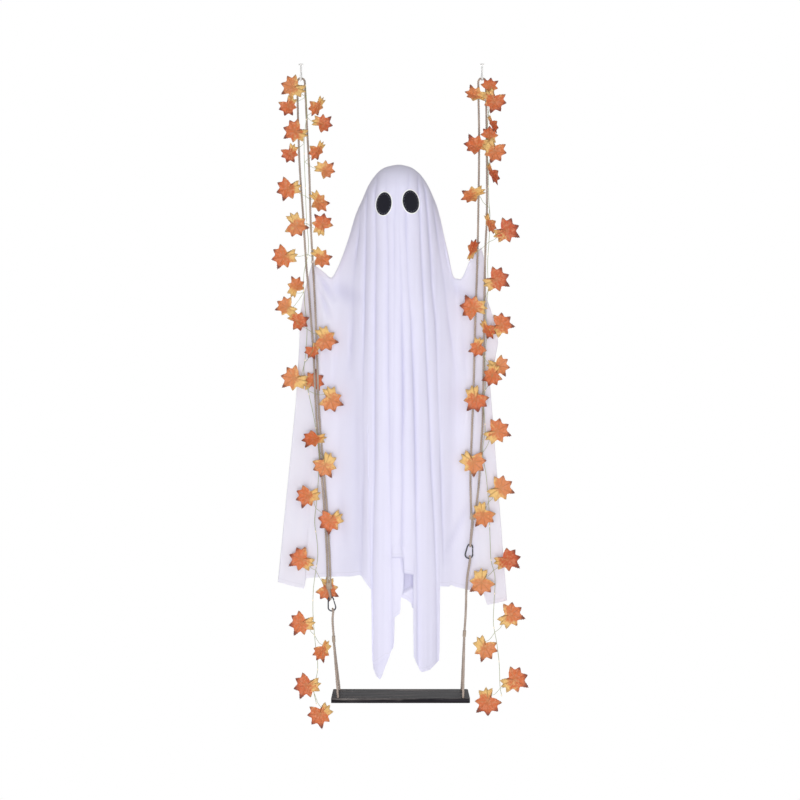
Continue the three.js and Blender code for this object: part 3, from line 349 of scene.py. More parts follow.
@dataclass(frozen=True)
class LeafFinish:
    """Printed leaf cloth: yellow at the stem, orange body, red tips and fine veins."""

    name: str = "leaf_fabric"
    yellow: Colour = (0.88, 0.58, 0.21)
    amber: Colour = (0.74, 0.32, 0.12)
    orange: Colour = (0.68, 0.165, 0.05)
    scarlet: Colour = (0.54, 0.078, 0.035)
    rose: Colour = (0.78, 0.34, 0.2)
    red: Colour = (0.28, 0.05, 0.03)
    tip: Colour = (0.15, 0.065, 0.045)

    def build(self) -> bpy.types.Material:
        """Makes the material."""
        paint = Paint(self.name)
        at = paint.place()
        tone, stem = paint.attribute("tone"), paint.attribute("stem_side")
        rim, vein = paint.attribute("rim"), paint.attribute("vein")
        cloud = paint.noise(at, 45.0, 3.0)
        fine = paint.noise(at, 400.0, 4.0)
        patch = paint.noise(at, 130.0, 2.0)
        base = paint.mix(tone.step(0.45, 1.0) * 0.55, self.orange, self.amber)
        base = paint.mix((1 - tone).step(0.72, 1.0) * 0.6, base, self.scarlet)
        warm = paint.mix(patch.step(0.42, 0.68) * 0.5, base, self.rose)
        mottle = cloud - 0.5 + (patch - 0.5) * 0.8
        golden = (stem * 0.8 + rim * 0.4 + tone * 0.28 + mottle - 0.12).step(0.58, 0.98)
        warm = paint.mix(golden * 0.92, warm, self.yellow)
        redness = (rim * (1 - stem) + (0.5 - tone) * 0.3 + (cloud - 0.5) * 0.35).step(0.58, 0.95)
        colour = paint.mix(redness * 0.75, warm, self.red)
        tips = (rim + (cloud - 0.5) * 0.25).step(0.7, 0.96)
        colour = paint.mix(tips * (1 - golden * 0.5) * 0.8, colour, self.tip)
        colour = paint.mix(vein * 0.45, colour, paint.mix(stem, self.red, self.yellow))
        grime = paint.ramp(fine, [(0.3, (0.68, 0.62, 0.6)), (0.7, (1.0, 1.0, 1.0))])
        return paint.done(
            Base_Color=paint.mix(0.3, colour, grime, "MULTIPLY"),
            Roughness=0.62,
            Normal=paint.bump(fine * 0.4 + (1 - vein), 0.0005, 0.8),
            Sheen_Weight=0.1,
            Specular_IOR_Level=0.3,
        )


@dataclass(frozen=True)
class BoardFinish:
    """Black stained wood, worn pale along its edges and grain."""

    name: str = "stained_wood"
    stain: Colour = (0.010, 0.009, 0.011)
    worn: Colour = (0.25, 0.225, 0.215)
    grain_shade: float = 3.2

    def build(self) -> bpy.types.Material:
        """Makes the material."""
        paint = Paint(self.name)
        at = paint.place()
        grain = paint.noise(at, (5.0, 170.0, 170.0), 6.0)
        pores = paint.noise(at, (40.0, 900.0, 900.0), 2.0)
        patch = paint.noise(at, (4.5, 36.0, 48.0), 4.0)
        wear = paint.attribute("wear")
        mask = (wear * 0.35 + (patch - 0.5) * 3.2 + (grain - 0.5) * 1.4).step(0.12, 0.95)
        pale = tuple(self.grain_shade * c for c in self.stain)
        colour = paint.mix(grain.step(0.35, 0.7), self.stain, pale)
        return paint.done(
            Base_Color=paint.mix(mask * 0.8, colour, self.worn),
            Roughness=0.6 + mask * 0.25,
            Normal=paint.bump(grain * 0.7 - pores.step(0.6, 0.75) * 0.5, 0.0008, 0.8),
            Specular_IOR_Level=0.045,
        )


@dataclass(frozen=True)
class MetalFinish:
    """Plated or bare metal with faint scuffs."""

    name: str
    colour: Colour
    roughness: float = 0.32
    metallic: float = 1.0
    scuff: Colour = (0.5, 0.5, 0.5)
    scuff_share: float = 0.25

    def build(self) -> bpy.types.Material:
        """Makes the material."""
        paint = Paint(self.name)
        at = paint.place()
        scratches = paint.noise(at, (300.0, 1500.0, 300.0), 4.0)
        patch = paint.noise(at, 120.0, 3.0)
        mask = (patch * scratches * 2.4 - 0.5).clamped() * self.scuff_share
        return paint.done(
            Base_Color=paint.mix(mask, self.colour, self.scuff),
            Roughness=self.roughness + scratches * 0.2,
            Metallic=self.metallic,
            Normal=paint.bump(scratches, 0.00008, 0.5),
        )


@dataclass(frozen=True)
class MouldedFinish:
    """Moulded plastic or a thin coat, with a fine grain and slight cloudiness."""

    name: str
    colour: Colour
    roughness: float = 0.45
    grain: float = 1400.0
    depth: float = 0.00006
    coat: float = 0.0
    cloudiness: float = 0.86

    def build(self) -> bpy.types.Material:
        """Makes the material."""
        paint = Paint(self.name)
        at = paint.place()
        grain = paint.noise(at, self.grain, 3.0)
        cloud = paint.noise(at, 30.0, 2.0)
        dark = tuple(self.cloudiness * c for c in self.colour)
        return paint.done(
            Base_Color=paint.mix(cloud.step(0.35, 0.7), self.colour, dark),
            Roughness=self.roughness + (cloud - 0.5) * 0.15,
            Normal=paint.bump(grain, self.depth, 0.6),
            Coat_Weight=self.coat,
        )


@dataclass(frozen=True)
class RodFinish:
    """Plain hardwood rod with its grain along Z."""

    name: str = "rod_wood"
    pale: Colour = (0.68, 0.48, 0.29)
    dark: Colour = (0.45, 0.28, 0.14)

    def build(self) -> bpy.types.Material:
        """Makes the material."""
        paint = Paint(self.name)
        grain = paint.noise(paint.place(), (500.0, 500.0, 18.0), 4.0)
        return paint.done(
            Base_Color=paint.mix(grain.step(0.3, 0.75), self.pale, self.dark),
            Roughness=0.5 + grain * 0.2,
            Normal=paint.bump(grain, 0.0002, 0.6),
        )


@dataclass(frozen=True)
class LightFinish:
    """Clear resin drop of a small light, warm inside."""

    name: str = "light_drop"
    colour: Colour = (1.0, 0.82, 0.5)
    inside: Colour = (1.0, 0.93, 0.78)

    def build(self) -> bpy.types.Material:
        """Makes the material."""
        paint = Paint(self.name)
        cloud = paint.noise(paint.place(), 700.0, 2.0)
        return paint.done(
            Base_Color=paint.mix(cloud, self.colour, self.inside),
            Roughness=0.12,
            Coat_Weight=0.6,
            Emission_Color=self.colour,
            Emission_Strength=0.05,
        )


# Mesh building


def placed(name: str, data: bpy.types.ID) -> bpy.types.Object:
    """Adds an object for a mesh, curve, lamp or camera, at the origin."""
    made = bpy.data.objects.new(name, data)
    bpy.context.collection.objects.link(made)
    return made


def piece(
    name: str,
    points: np.ndarray | Sequence[Vector],
    faces: Sequence[Sequence[int]],
    material: bpy.types.Material,
) -> bpy.types.Object:
    """Makes a smooth piece from its corners and the corner numbers of its faces."""
    mesh = bpy.data.meshes.new(name)
    mesh.from_pydata([tuple(float(c) for c in p) for p in points], [], [list(f) for f in faces])
    mesh.materials.append(material)
    mesh.shade_smooth()
    mesh.update()
    return placed(name, mesh)


def store(made: bpy.types.Object, name: str, values: Iterable[float]) -> None:
    """Stores one number for each point of a piece."""
    layer = made.data.attributes.new(name, "FLOAT", "POINT")
    layer.data.foreach_set("value", np.asarray(list(values), dtype=np.float32))


def store_fibres(made: bpy.types.Object, sides: int, step: float) -> None:
    """Stores the way along and around a piece of tubes, for the hairs of its finish.

    Args:
        made: the piece.
        sides: corners of the tubes' section.
        step: way along from one section to the next.
    """
    numbers = np.arange(len(made.data.vertices))
    store(made, "along", numbers // sides * step)
    store(made, "around", numbers % sides / sides)


def turn_outwards(made: bpy.types.Object) -> None:
    """Turns a closed piece's faces outwards."""
    form = bmesh.new()
    form.from_mesh(made.data)
    bmesh.ops.recalc_face_normals(form, faces=form.faces)
    form.to_mesh(made.data)
    form.free()


def smoothed(points: Sequence[Vector], step: float) -> list[Vector]:
    """Runs a soft curve through points.

    Args:
        points: what the curve passes through.
        step: about how far apart the new points are.

    Returns:
        The new points.
    """
    ends = [points[0] * 2 - points[1], *points, points[-1] * 2 - points[-2]]
    made = [points[0].copy()]
    for before, start, end, after in zip(ends, ends[1:], ends[2:], ends[3:]):
        length = (end - start).length
        count = max(1, round(length / step))
        pull_out = (end - before) * (length / max((end - before).length, 1e-9))
        pull_in = (after - start) * (length / max((after - start).length, 1e-9))
        for i in range(1, count + 1):
            t = i / count
            made.append(
                start * (2 * t**3 - 3 * t**2 + 1)
                + pull_out * (t**3 - 2 * t**2 + t)
                + end * (3 * t**2 - 2 * t**3)
                + pull_in * (t**3 - t**2)
            )
    return made


def arc(
    centre: Vector, radius: float, across: Vector, up: Vector, start: float, end: float, count: int
) -> list[Vector]:
    """Points of an arc, with its angles in degrees from across towards up."""
    angles = (math.radians(start + (end - start) * i / count) for i in range(count + 1))
    return [centre + across * (radius * math.cos(a)) + up * (radius * math.sin(a)) for a in angles]


def tube(
    points: Sequence[Vector], radius: float | Sequence[float], sides: int, closed: bool = False
) -> tuple[list[Vector], list[tuple[int, ...]]]:
    """Sweeps a round section along points without twist.

    Args:
        points: the middle line.
        radius: the section's radius, or one for each point.
        sides: corners of the section.
        closed: whether the line joins its own start.

    Returns:
        The corners and the faces.
    """
    count = len(points)
    radii = [radius] * count if isinstance(radius, (int, float)) else list(radius)
    after = [points[(i + 1) % count] if closed else points[min(i + 1, count - 1)] for i in range(count)]
    before = [points[i - 1] if closed or i else points[0] for i in range(count)]
    tangents = [(b - a).normalized() for a, b in zip(before, after)]
    normal = tangents[0].orthogonal().normalized()
    frames = []
    for i, tangent in enumerate(tangents):
        if i:
            normal = tangents[i - 1].rotation_difference(tangent) @ normal
        normal = (normal - tangent * normal.dot(tangent)).normalized()
        frames.append((normal.copy(), tangent.cross(normal)))
    twist = 0.0
    if closed:
        last = tangents[-1].rotation_difference(tangents[0]) @ frames[-1][0]
        twist = math.atan2(last.dot(frames[0][1]), last.dot(frames[0][0]))
    corners = []
    for i, (point, (first, second)) in enumerate(zip(points, frames)):
        for side in range(sides):
            angle = math.tau * side / sides - twist * i / count
            corners.append(point + (first * math.cos(angle) + second * math.sin(angle)) * radii[i])
    faces = []
    for i in range(count if closed else count - 1):
        here, there = i * sides, ((i + 1) % count) * sides
        for side in range(sides):
            beside = (side + 1) % sides
            faces.append((here + side, here + beside, there + beside, there + side))
    if not closed:
        faces.append(tuple(reversed(range(sides))))
        faces.append(tuple(range((count - 1) * sides, count * sides)))
    return corners, faces


def turned(profile: Sequence[tuple[float, float]], sides: int, place: Matrix) -> tuple[list[Vector], list]:
    """Turns a profile about Z; its first and last points lie on the axis.

    Args:
        profile: (radius, height) from top to bottom.
        sides: corners of each ring.
        place: where the turned form goes.

    Returns:
        The corners and the faces.
    """
    corners = [place @ Vector((0, 0, profile[0][1]))]
    for radius, height in profile[1:-1]:
        for side in range(sides):
            angle = math.tau * side / sides
            corners.append(place @ Vector((radius * math.cos(angle), radius * math.sin(angle), height)))
    corners.append(place @ Vector((0, 0, profile[-1][1])))
    faces = []
    rings = len(profile) - 2
    for side in range(sides):
        beside = (side + 1) % sides
        faces.append((0, 1 + side, 1 + beside))
        for ring in range(rings - 1):
            here, there = 1 + ring * sides, 1 + (ring + 1) * sides
            faces.append((here + side, there + side, there + beside, here + beside))
        final = 1 + (rings - 1) * sides
        faces.append((final + side, len(corners) - 1, final + beside))
    return corners, faces


def together(*parts: tuple[Sequence[Vector], Sequence]) -> tuple[list[Vector], list]:
    """Puts several bodies in one list of corners and faces."""
    corners: list[Vector] = []
    faces: list = []
    for part_corners, part_faces in parts:
        shift = len(corners)
        corners.extend(part_corners)
        faces.extend(tuple(shift + i for i in face) for face in part_faces)
    return corners, faces


def disc(radius: float, top: float, thick: float, place: Matrix) -> tuple[list[Vector], list]:
    """A flat round body that hangs that thick below a height on its axis."""
    return turned([(0, top), (radius, top), (radius, top - thick), (0, top - thick)], 20, place)


def off_line(
    x: np.ndarray, z: np.ndarray, start: np.ndarray, end: np.ndarray
) -> tuple[np.ndarray, np.ndarray]:
    """Share along a straight line, and distance from it, of many places."""
    run = end - start
    along = np.clip(((x - start[0]) * run[0] + (z - start[1]) * run[1]) / float(run @ run), 0, 1)
    return along, np.hypot(x - start[0] - along * run[0], z - start[1] - along * run[1])


def line_object(name: str, lines: Sequence[Sequence[Vector]]) -> bpy.types.Object:
    """Makes a curve object with one straight-stepped spline for each line."""
    curve = bpy.data.curves.new(name, "CURVE")
    curve.dimensions = "3D"
    for line in lines:
        spline = curve.splines.new("POLY")
        spline.points.add(len(line) - 1)
        for point, place in zip(spline.points, line):
            point.co = (*place, 1.0)
    return placed(name, curve)


# Geometry node trees


class Tree(Nodes):
    """A geometry node tree under construction."""

    def __init__(self, name: str, inputs: dict[str, str]) -> None:
        """Starts a tree.

        Args:
            name: the tree's name.
            inputs: kind of each named input, between the geometry and the finish.
        """
        super().__init__(bpy.data.node_groups.new(name, "GeometryNodeTree"))
        for label, kind in {"Geometry": "Geometry", **inputs, "Finish": "Material"}.items():
            self.tree.interface.new_socket(label, in_out="INPUT", socket_type=f"NodeSocket{kind}")
        self.tree.interface.new_socket("Geometry", in_out="OUTPUT", socket_type="NodeSocketGeometry")
        self.entry = self.tree.nodes.new("NodeGroupInput")

    def value(self, label: str) -> Signal:
        """The tree's input of that name."""
        return Signal(self, self.entry.outputs[label])

    def vector(self, operation: str, first: object, second: object) -> Signal:
        """Adds a Vector Math node."""
        return self.node("ShaderNodeVectorMath", {"operation": operation}, {0: first, 1: second})

    def scaled(self, vector: object, factor: object) -> Signal:
        """A vector times a number."""
        return self.node("ShaderNodeVectorMath", {"operation": "SCALE"}, {0: vector, "Scale": factor})

    def stored(self, geometry: Signal, name: str, value: Signal, kind: str = "FLOAT") -> Signal:
        """Stores a number or a vector on the points of a geometry."""
        settings = {"data_type": kind, "domain": "POINT"}
        inputs = {"Geometry": geometry, "Name": name, "Value": value}
        return self.node("GeometryNodeStoreNamedAttribute", settings, inputs)

    def named(self, name: str, kind: str = "FLOAT") -> Signal:
        """A stored number or vector."""
        return self.node("GeometryNodeInputNamedAttribute", {"data_type": kind}, {"Name": name})

    def section(self, sides: Signal | int, radius: Signal) -> Signal:
        """A circle to sweep, with the way round it stored."""
        inputs = {"Resolution": sides, "Radius": radius}
        circle = self.node("GeometryNodeCurvePrimitiveCircle", {"mode": "RADIUS"}, inputs, "Curve")
        return self.stored(circle, "around", self.node("GeometryNodeSplineParameter", output="Factor"))

    def swept(self, line: Signal, section: Signal) -> Signal:
        """A mesh of a section along a curve, closed at both ends."""
        inputs = {"Curve": line, "Profile Curve": section, "Fill Caps": True}
        return self.node("GeometryNodeCurveToMesh", None, inputs)

    def close(self, geometry: Signal) -> bpy.types.NodeTree:
        """Realizes the geometry, gives it its material, and ends the tree."""
        real = self.node("GeometryNodeRealizeInstances", None, {"Geometry": geometry})
        shaded = self.node("GeometryNodeSetShadeSmooth", None, {0: real})
        inputs = {"Geometry": shaded, "Material": self.value("Finish")}
        dressed = self.node("GeometryNodeSetMaterial", None, inputs)
        self.feed(self.tree.nodes.new("NodeGroupOutput").inputs[0], dressed)
        return self.tree


def laid_rope_tree(strand_count: int = 3, strand_sides: int = 6) -> bpy.types.NodeTree:
    """Makes the tree that lays a rope of twisted strands along a curve."""
    tree = Tree("laid_rope", {name: "Float" for name in ("Strand Radius", "Lay Radius", "Pitch", "Step")})
    inputs = {"Curve": tree.value("Geometry"), "Length": tree.value("Step")}
    line = tree.node("GeometryNodeResampleCurve", {"mode": "LENGTH"}, inputs)
    along = tree.node("GeometryNodeSplineParameter", output="Length")
    line = tree.stored(line, "along", along)
    normal = tree.node("GeometryNodeInputNormal")
    beside = tree.vector("CROSS_PRODUCT", tree.node("GeometryNodeInputTangent"), normal)
    turn = along * tree.math("DIVIDE", math.tau, tree.value("Pitch"))
    section = tree.section(strand_sides, tree.value("Strand Radius"))
    strands = []
    for number in range(strand_count):
        angle = turn + math.tau * number / strand_count
        reach = [tree.math(kind, angle) * tree.value("Lay Radius") for kind in ("COSINE", "SINE")]
        offset = tree.vector("ADD", tree.scaled(normal, reach[0]), tree.scaled(beside, reach[1]))
        moved = tree.node("GeometryNodeSetPosition", None, {"Geometry": line, "Offset": offset})
        strands.append(tree.swept(moved, section))
    return tree.close(tree.node("GeometryNodeJoinGeometry", None, {0: strands}))


def wire_tree() -> bpy.types.NodeTree:
    """Makes the tree that sweeps a round wire along every spline of a curve."""
    tree = Tree("round_wire", {"Radius": "Float", "Sides": "Int"})
    section = tree.section(tree.value("Sides"), tree.value("Radius"))
    along = tree.node("GeometryNodeSplineParameter", output="Length")
    return tree.close(tree.swept(tree.stored(tree.value("Geometry"), "along", along), section))


def light_tree() -> bpy.types.NodeTree:
    """Makes the tree that sets small light drops at even steps along a curve."""
    tree = Tree("light_drops", {"Spacing": "Float", "Radius": "Float"})
    inputs = {"Curve": tree.value("Geometry"), "Length": tree.value("Spacing")}
    points = tree.node("GeometryNodeCurveToPoints", {"mode": "LENGTH"}, inputs, "Points")
    inputs = {"Segments": 10, "Rings": 7, "Radius": tree.value("Radius")}
    drop = tree.node("GeometryNodeMeshUVSphere", None, inputs, "Mesh")
    long = tree.node("GeometryNodeTransform", None, {"Geometry": drop, "Scale": (0.85, 0.85, 1.5)})
    return tree.close(tree.node("GeometryNodeInstanceOnPoints", None, {"Points": points, "Instance": long}))


def leaf_tree() -> bpy.types.NodeTree:
    """Makes the tree that sets a leaf at each point, turned, sized, folded and cupped by its numbers."""
    tree = Tree("leaves", {"Leaf": "Object", "Cup": "Float"})
    leaf = tree.node("GeometryNodeObjectInfo", None, {"Object": tree.value("Leaf")}, "Geometry")
    here = tree.node("GeometryNodeInputPosition")
    points = tree.stored(tree.value("Geometry"), "middle", here, "FLOAT_VECTOR")
    flat = tree.stored(leaf, "flat", here, "FLOAT_VECTOR")
    leaves = tree.node("GeometryNodeInstanceOnPoints", None, {"Points": points, "Instance": flat})
    real = tree.node("GeometryNodeRealizeInstances", None, {"Geometry": leaves})
    mirrored = tree.math("LESS_THAN", tree.named("hand"), 0.0)
    real = tree.node("GeometryNodeFlipFaces", None, {"Mesh": real, "Selection": mirrored})
    x, y, z = tree.split(tree.named("flat", "FLOAT_VECTOR"))
    x = x * tree.named("hand")
    fold = tree.named("fold")
    cup = (x * x + z * z) * (tree.value("Cup") * tree.named("cupped"))
    forward = tree.math("ABSOLUTE", x) * tree.math("SINE", fold) + cup
    bent = tree.joined(x * tree.math("COSINE", fold), y - forward, z)
    inputs = {"Vector": tree.scaled(bent, tree.named("size")), "Angle": tree.named("turn")}
    spun = tree.node("ShaderNodeVectorRotate", {"rotation_type": "Y_AXIS"}, inputs)
    goal = tree.vector("ADD", spun, tree.named("middle", "FLOAT_VECTOR"))
    return tree.close(tree.node("GeometryNodeSetPosition", None, {"Geometry": real, "Position": goal}))


def grown(
    name: str, source: bpy.types.Object, tree: bpy.types.NodeTree, **inputs: object
) -> bpy.types.Object:
    """Runs a tree on a source object and keeps the result as a plain mesh.

    Args:
        name: the new piece's name.
        source: curve or points that the tree reads; it is removed.
        tree: the node tree.
        **inputs: the tree's inputs, with underscores for spaces.

    Returns:
        The piece.
    """
    modifier = source.modifiers.new(name, "NODES")
    modifier.node_group = tree
    for item in tree.interface.items_tree:
        key = item.name.replace(" ", "_")
        if item.in_out == "INPUT" and key in inputs:
            modifier[item.identifier] = inputs[key]
    shown = source.evaluated_get(bpy.context.evaluated_depsgraph_get())
    mesh = bpy.data.meshes.new_from_object(shown)
    mesh.name = name
    source.modifiers.remove(modifier)
    bpy.data.objects.remove(source)
    return placed(name, mesh)


def finished(made: bpy.types.Object, body: str, slot: str, *nodes: str) -> bpy.types.Object:
    """Rides a piece on its body, hides the CAD nodes that it stands for, and logs its faces.

    Args:
        made: the piece.
        body: the CAD body it moves with.
        slot: not used.
        *nodes: CAD nodes that it replaces.

    Returns:
        The piece.
    """
    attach(made, body)
    if nodes:
        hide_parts(*nodes)
    log.info("%s: %d faces on %s", made.name, len(made.data.polygons), body)
    return made


# The swing's layout


X, Y, Z = Vector((1, 0, 0)), Vector((0, 1, 0)), Vector((0, 0, 1))


@dataclass(frozen=True)
class Layout:
    """Sizes and places that several sub-assemblies share."""

    hang_span: float = 0.524
    seat_drop: float = 1.782
    rope_forward: float = 0.015
    lean_drop: float = 0.52
    clearance: float = 0.0003
    rope_radius: float = 0.0033
    strand_offset: float = 0.0035
    link_height: float = 0.044
    link_width: float = 0.026
    link_wire: float = 0.002
    link_top_radius: float = 0.0075
    link_lean: float = 8.0
    hook_bow: float = 0.011
    hook_wire: float = 0.0026
    cloth_plane: float = 0.005
    arm_wire: float = 0.002

    def rope_y(self, z: float) -> float:
        """Depth of the ropes' plane at a height."""
        return -self.rope_forward + self.rope_forward * max(0.0, 1 + z / self.lean_drop)

    def place(self, share: Sequence[float], forward: float = 0.0) -> Vector:
        """Point of a share of the swing's width and drop, that far in front of the ropes."""
        z = -share[1] * self.seat_drop
        return Vector((share[0] * self.hang_span, self.rope_y(z) - forward, z))

    @property
    def link_bottom_radius(self) -> float:
        """Wire centreline of a snap link's wide end."""
        return self.link_width / 2 - self.link_wire

    def link_tilt(self, side: Side) -> float:
        """Turn of a snap link in its plane."""
        return math.radians(self.link_lean * side.sign)

    def on_link(self, side: Side, x: float, z: float, y: float = 0.0) -> Vector:
        """Point given in a snap link's own plane."""
        tilt = self.link_tilt(side)
        middle = self.place(ROUTES[side].link)
        return middle + Vector(
            (x * math.cos(tilt) + z * math.sin(tilt), y, -x * math.sin(tilt) + z * math.cos(tilt))
        )

    def link_low_centre(self) -> float:
        """Height of the wide end's centre in a link."""
        return -(self.link_height / 2 - self.link_wire - self.link_bottom_radius)

    def seat_axis(self) -> tuple[Vector, Vector]:
        """Direction from the left link's foot to the right one's, and the upward direction square to it."""
        low = self.link_low_centre()
        along = (self.on_link(Side.RIGHT, 0, low) - self.on_link(Side.LEFT, 0, low)).normalized()
        return along, Vector((-along.z, 0, along.x))


@dataclass(frozen=True)
class RopeRoute:
    """Where one side's ropes run, in shares of the swing's width and drop.

    A sprig is the place where it leaves the light wire, with its leaves: across, down, turn in degrees,
    size, fold in degrees, and layer before the ropes, or behind them when it is negative.
    """

    outer: Shares
    inner: Shares
    knot: Sequence[float]
    link: Sequence[float]
    lower: Shares
    bridle: Sequence[float]
    light_wire: Shares
    sprigs: Sequence[tuple[float, Shares]]


ROUTES = {
    Side.LEFT: RopeRoute(
        outer=(
            (-0.515, 0.074), (-0.507, 0.141), (-0.485, 0.233), (-0.468, 0.309), (-0.451, 0.364),
            (-0.427, 0.461), (-0.415, 0.543), (-0.393, 0.622), (-0.373, 0.687), (-0.356, 0.769),
            (-0.351, 0.816),
        ),
        inner=(
            (-0.466, 0.082), (-0.453, 0.157), (-0.444, 0.242), (-0.433, 0.302), (-0.419, 0.38),
            (-0.409, 0.461), (-0.399, 0.543), (-0.378, 0.622), (-0.359, 0.687), (-0.342, 0.769),
            (-0.336, 0.816),
        ),
        knot=(-0.342, 0.828),
        link=(-0.33, 0.855),
        lower=((-0.324, 0.881), (-0.319, 0.903)),
        bridle=(-0.317, 0.915),
        light_wire=(
            (-0.473, 0.015), (-0.467, 0.06), (-0.481, 0.105), (-0.473, 0.186), (-0.467, 0.233),
            (-0.456, 0.283), (-0.481, 0.323), (-0.478, 0.364), (-0.464, 0.412), (-0.473, 0.456),
            (-0.481, 0.48), (-0.453, 0.517), (-0.423, 0.558), (-0.398, 0.606), (-0.401, 0.651),
            (-0.412, 0.692), (-0.422, 0.721), (-0.409, 0.753), (-0.405, 0.777), (-0.417, 0.803),
            (-0.429, 0.832), (-0.431, 0.869), (-0.42, 0.913), (-0.405, 0.958), (-0.426, 0.994),
            (-0.412, 1.015),
        ),
        sprigs=(
            (0.034, ((-0.541, 0.019, 165, 0.93, 0, 2.3), (-0.569, 0.05, 250, 0.78, 20, 1.4))),
            (0.066, ((-0.409, 0.052, 240, 0.81, 45, 2.3), (-0.379, 0.079, -10, 0.78, 20, 1.4))),
            (0.11, ((-0.528, 0.091, 165, 0.93, 0, 2.3), (-0.558, 0.127, 250, 0.74, 20, 1.4))),
            (0.14, ((-0.409, 0.124, 240, 0.81, 45, 2.3), (-0.365, 0.154, -10, 0.78, 20, 1.4))),
            (0.196, ((-0.566, 0.184, 200, 0.93, 0, 2.3), (-0.398, 0.207, -50, 0.89, 40, 2.3))),
            (0.24, ((-0.525, 0.244, -60, 0.93, 0, 2.3), (-0.379, 0.242, 80, 0.85, 10, 1.4))),
            (0.29, ((-0.588, 0.294, 195, 0.96, 0, 2.3), (-0.385, 0.297, -40, 0.85, 30, 2.3))),
            (0.35, ((-0.522, 0.343, 70, 0.81, 35, 1.4), (-0.574, 0.375, 150, 0.81, 15, 2.3))),
            (0.41, ((-0.511, 0.398, -30, 0.81, 20, 1.1), (-0.365, 0.428, -60, 0.96, 10, 2.3))),
            (0.465, ((-0.434, 0.446, -120, 0.63, 20, 1.4), (-0.533, 0.49, 170, 1, 0, 2.3))),
            (0.51, ((-0.429, 0.495, 30, 0.85, 0, -1), (-0.333, 0.525, -70, 0.96, 10, 2.3))),
            (0.605, ((-0.426, 0.587, 190, 0.93, 45, 2.3), (-0.365, 0.63, -110, 0.96, 0, 2.3))),
            (0.7, ((-0.459, 0.679, 200, 0.93, 20, 2.3), (-0.335, 0.719, 215, 0.96, 0, 2.3))),
            (0.8, ((-0.492, 0.781, 160, 0.96, 0, 2.3), (-0.355, 0.833, -80, 0.9, 0, -1.9))),
            (0.905, ((-0.492, 0.884, 190, 0.96, 0, 2.3), (-0.38, 0.928, 240, 0.85, 40, 2.3))),
            (1.0, ((-0.464, 0.984, 195, 1, 0, 2.3), (-0.392, 1.031, 230, 0.96, 0, 2.3))),
        ),
    ),
    Side.RIGHT: RopeRoute(
        outer=(
            (0.524, 0.087), (0.525, 0.226), (0.517, 0.276), (0.512, 0.335), (0.508, 0.433), (0.501, 0.561),
            (0.492, 0.601), (0.48, 0.661), (0.465, 0.698),
        ),
        inner=(
            (0.483, 0.105), (0.477, 0.234), (0.47, 0.317), (0.459, 0.409), (0.452, 0.495), (0.442, 0.577),
            (0.434, 0.651), (0.437, 0.698),
        ),
        knot=(0.446, 0.716),
        link=(0.428, 0.77),
        lower=((0.414, 0.819), (0.408, 0.869)),
        bridle=(0.4, 0.906),
        light_wire=(
            (0.526, 0.015), (0.533, 0.06), (0.525, 0.105), (0.532, 0.145), (0.535, 0.202), (0.541, 0.226),
            (0.536, 0.267), (0.528, 0.302), (0.53, 0.347), (0.519, 0.383), (0.522, 0.42), (0.514, 0.454),
            (0.516, 0.501), (0.506, 0.533), (0.514, 0.574), (0.5, 0.609), (0.519, 0.646), (0.534, 0.695),
            (0.542, 0.756), (0.547, 0.784), (0.568, 0.811), (0.563, 0.852), (0.56, 0.886), (0.577, 0.916),
            (0.591, 0.949), (0.596, 0.987), (0.604, 1.002),
        ),
        sprigs=(
            (0.03, ((0.539, 0.018, 80, 0.7, 10, 1.1), (0.461, 0.033, 160, 0.85, 45, 1.4))),
            (0.062, ((0.566, 0.042, -60, 0.93, 10, 2.3), (0.555, 0.081, -65, 0.74, 65, 2.3))),
            (0.1, ((0.539, 0.097, 90, 0.7, 10, 1.1), (0.465, 0.115, 170, 0.96, 35, 1.4))),
            (0.145, ((0.566, 0.123, -60, 0.93, 10, 2.3), (0.555, 0.162, -65, 0.89, 65, 2.3))),
            (0.215, ((0.445, 0.196, 200, 0.96, 50, 2.3), (0.539, 0.242, -70, 0.81, 60, 2.3))),
            (0.27, ((0.629, 0.252, 20, 1, 0, 2.3), (0.442, 0.283, 70, 0.85, 60, 2.3))),
            (0.35, ((0.574, 0.331, 20, 1, 0, 2.3), (0.445, 0.377, 170, 1, 10, 2.3))),
            (0.41, ((0.599, 0.404, 40, 0.93, 0, 2.3), (0.528, 0.412, -60, 0.81, 50, 1.4))),
            (0.46, ((0.473, 0.441, -110, 0.74, 20, 2.3), (0.588, 0.47, -10, 0.85, 10, 1.4))),
            (0.51, ((0.552, 0.486, -110, 0.85, 25, 2.3), (0.462, 0.524, -80, 1, 10, 2.3))),
            (0.61, ((0.577, 0.575, 30, 1, 0, 2.3), (0.448, 0.625, -40, 1, 0, 2.3))),
            (0.69, ((0.596, 0.667, 30, 1, 0, 2.3), (0.503, 0.71, -80, 0.96, 20, 2.3))),
            (0.8, ((0.635, 0.781, 10, 1, 25, 2.3), (0.495, 0.819, -95, 1, 0, 2.3))),
            (0.9, ((0.651, 0.871, 35, 1, 0, 2.3), (0.514, 0.924, -60, 0.96, 10, 2.3))),
            (0.99, ((0.673, 0.975, 20, 1.04, 0, 2.3), (0.528, 1.011, -90, 1.04, 0, 2.3))),
        ),
    ),
}

LAYOUT = Layout()
# The arm wire from ring to ring, across and up in metres, under the ridge of the cloth
ARM_ROUTE = (
    (-0.2214, -0.5433), (-0.2214, -0.5613), (-0.2035, -0.578), (-0.1675, -0.5938), (-0.145, -0.583),
    (0.001, -0.5), (0.037, -0.5), (0.155, -0.581), (0.1784, -0.5967), (0.204, -0.5935), (0.226, -0.57),
    (0.2424, -0.54), (0.2424, -0.5099),
)


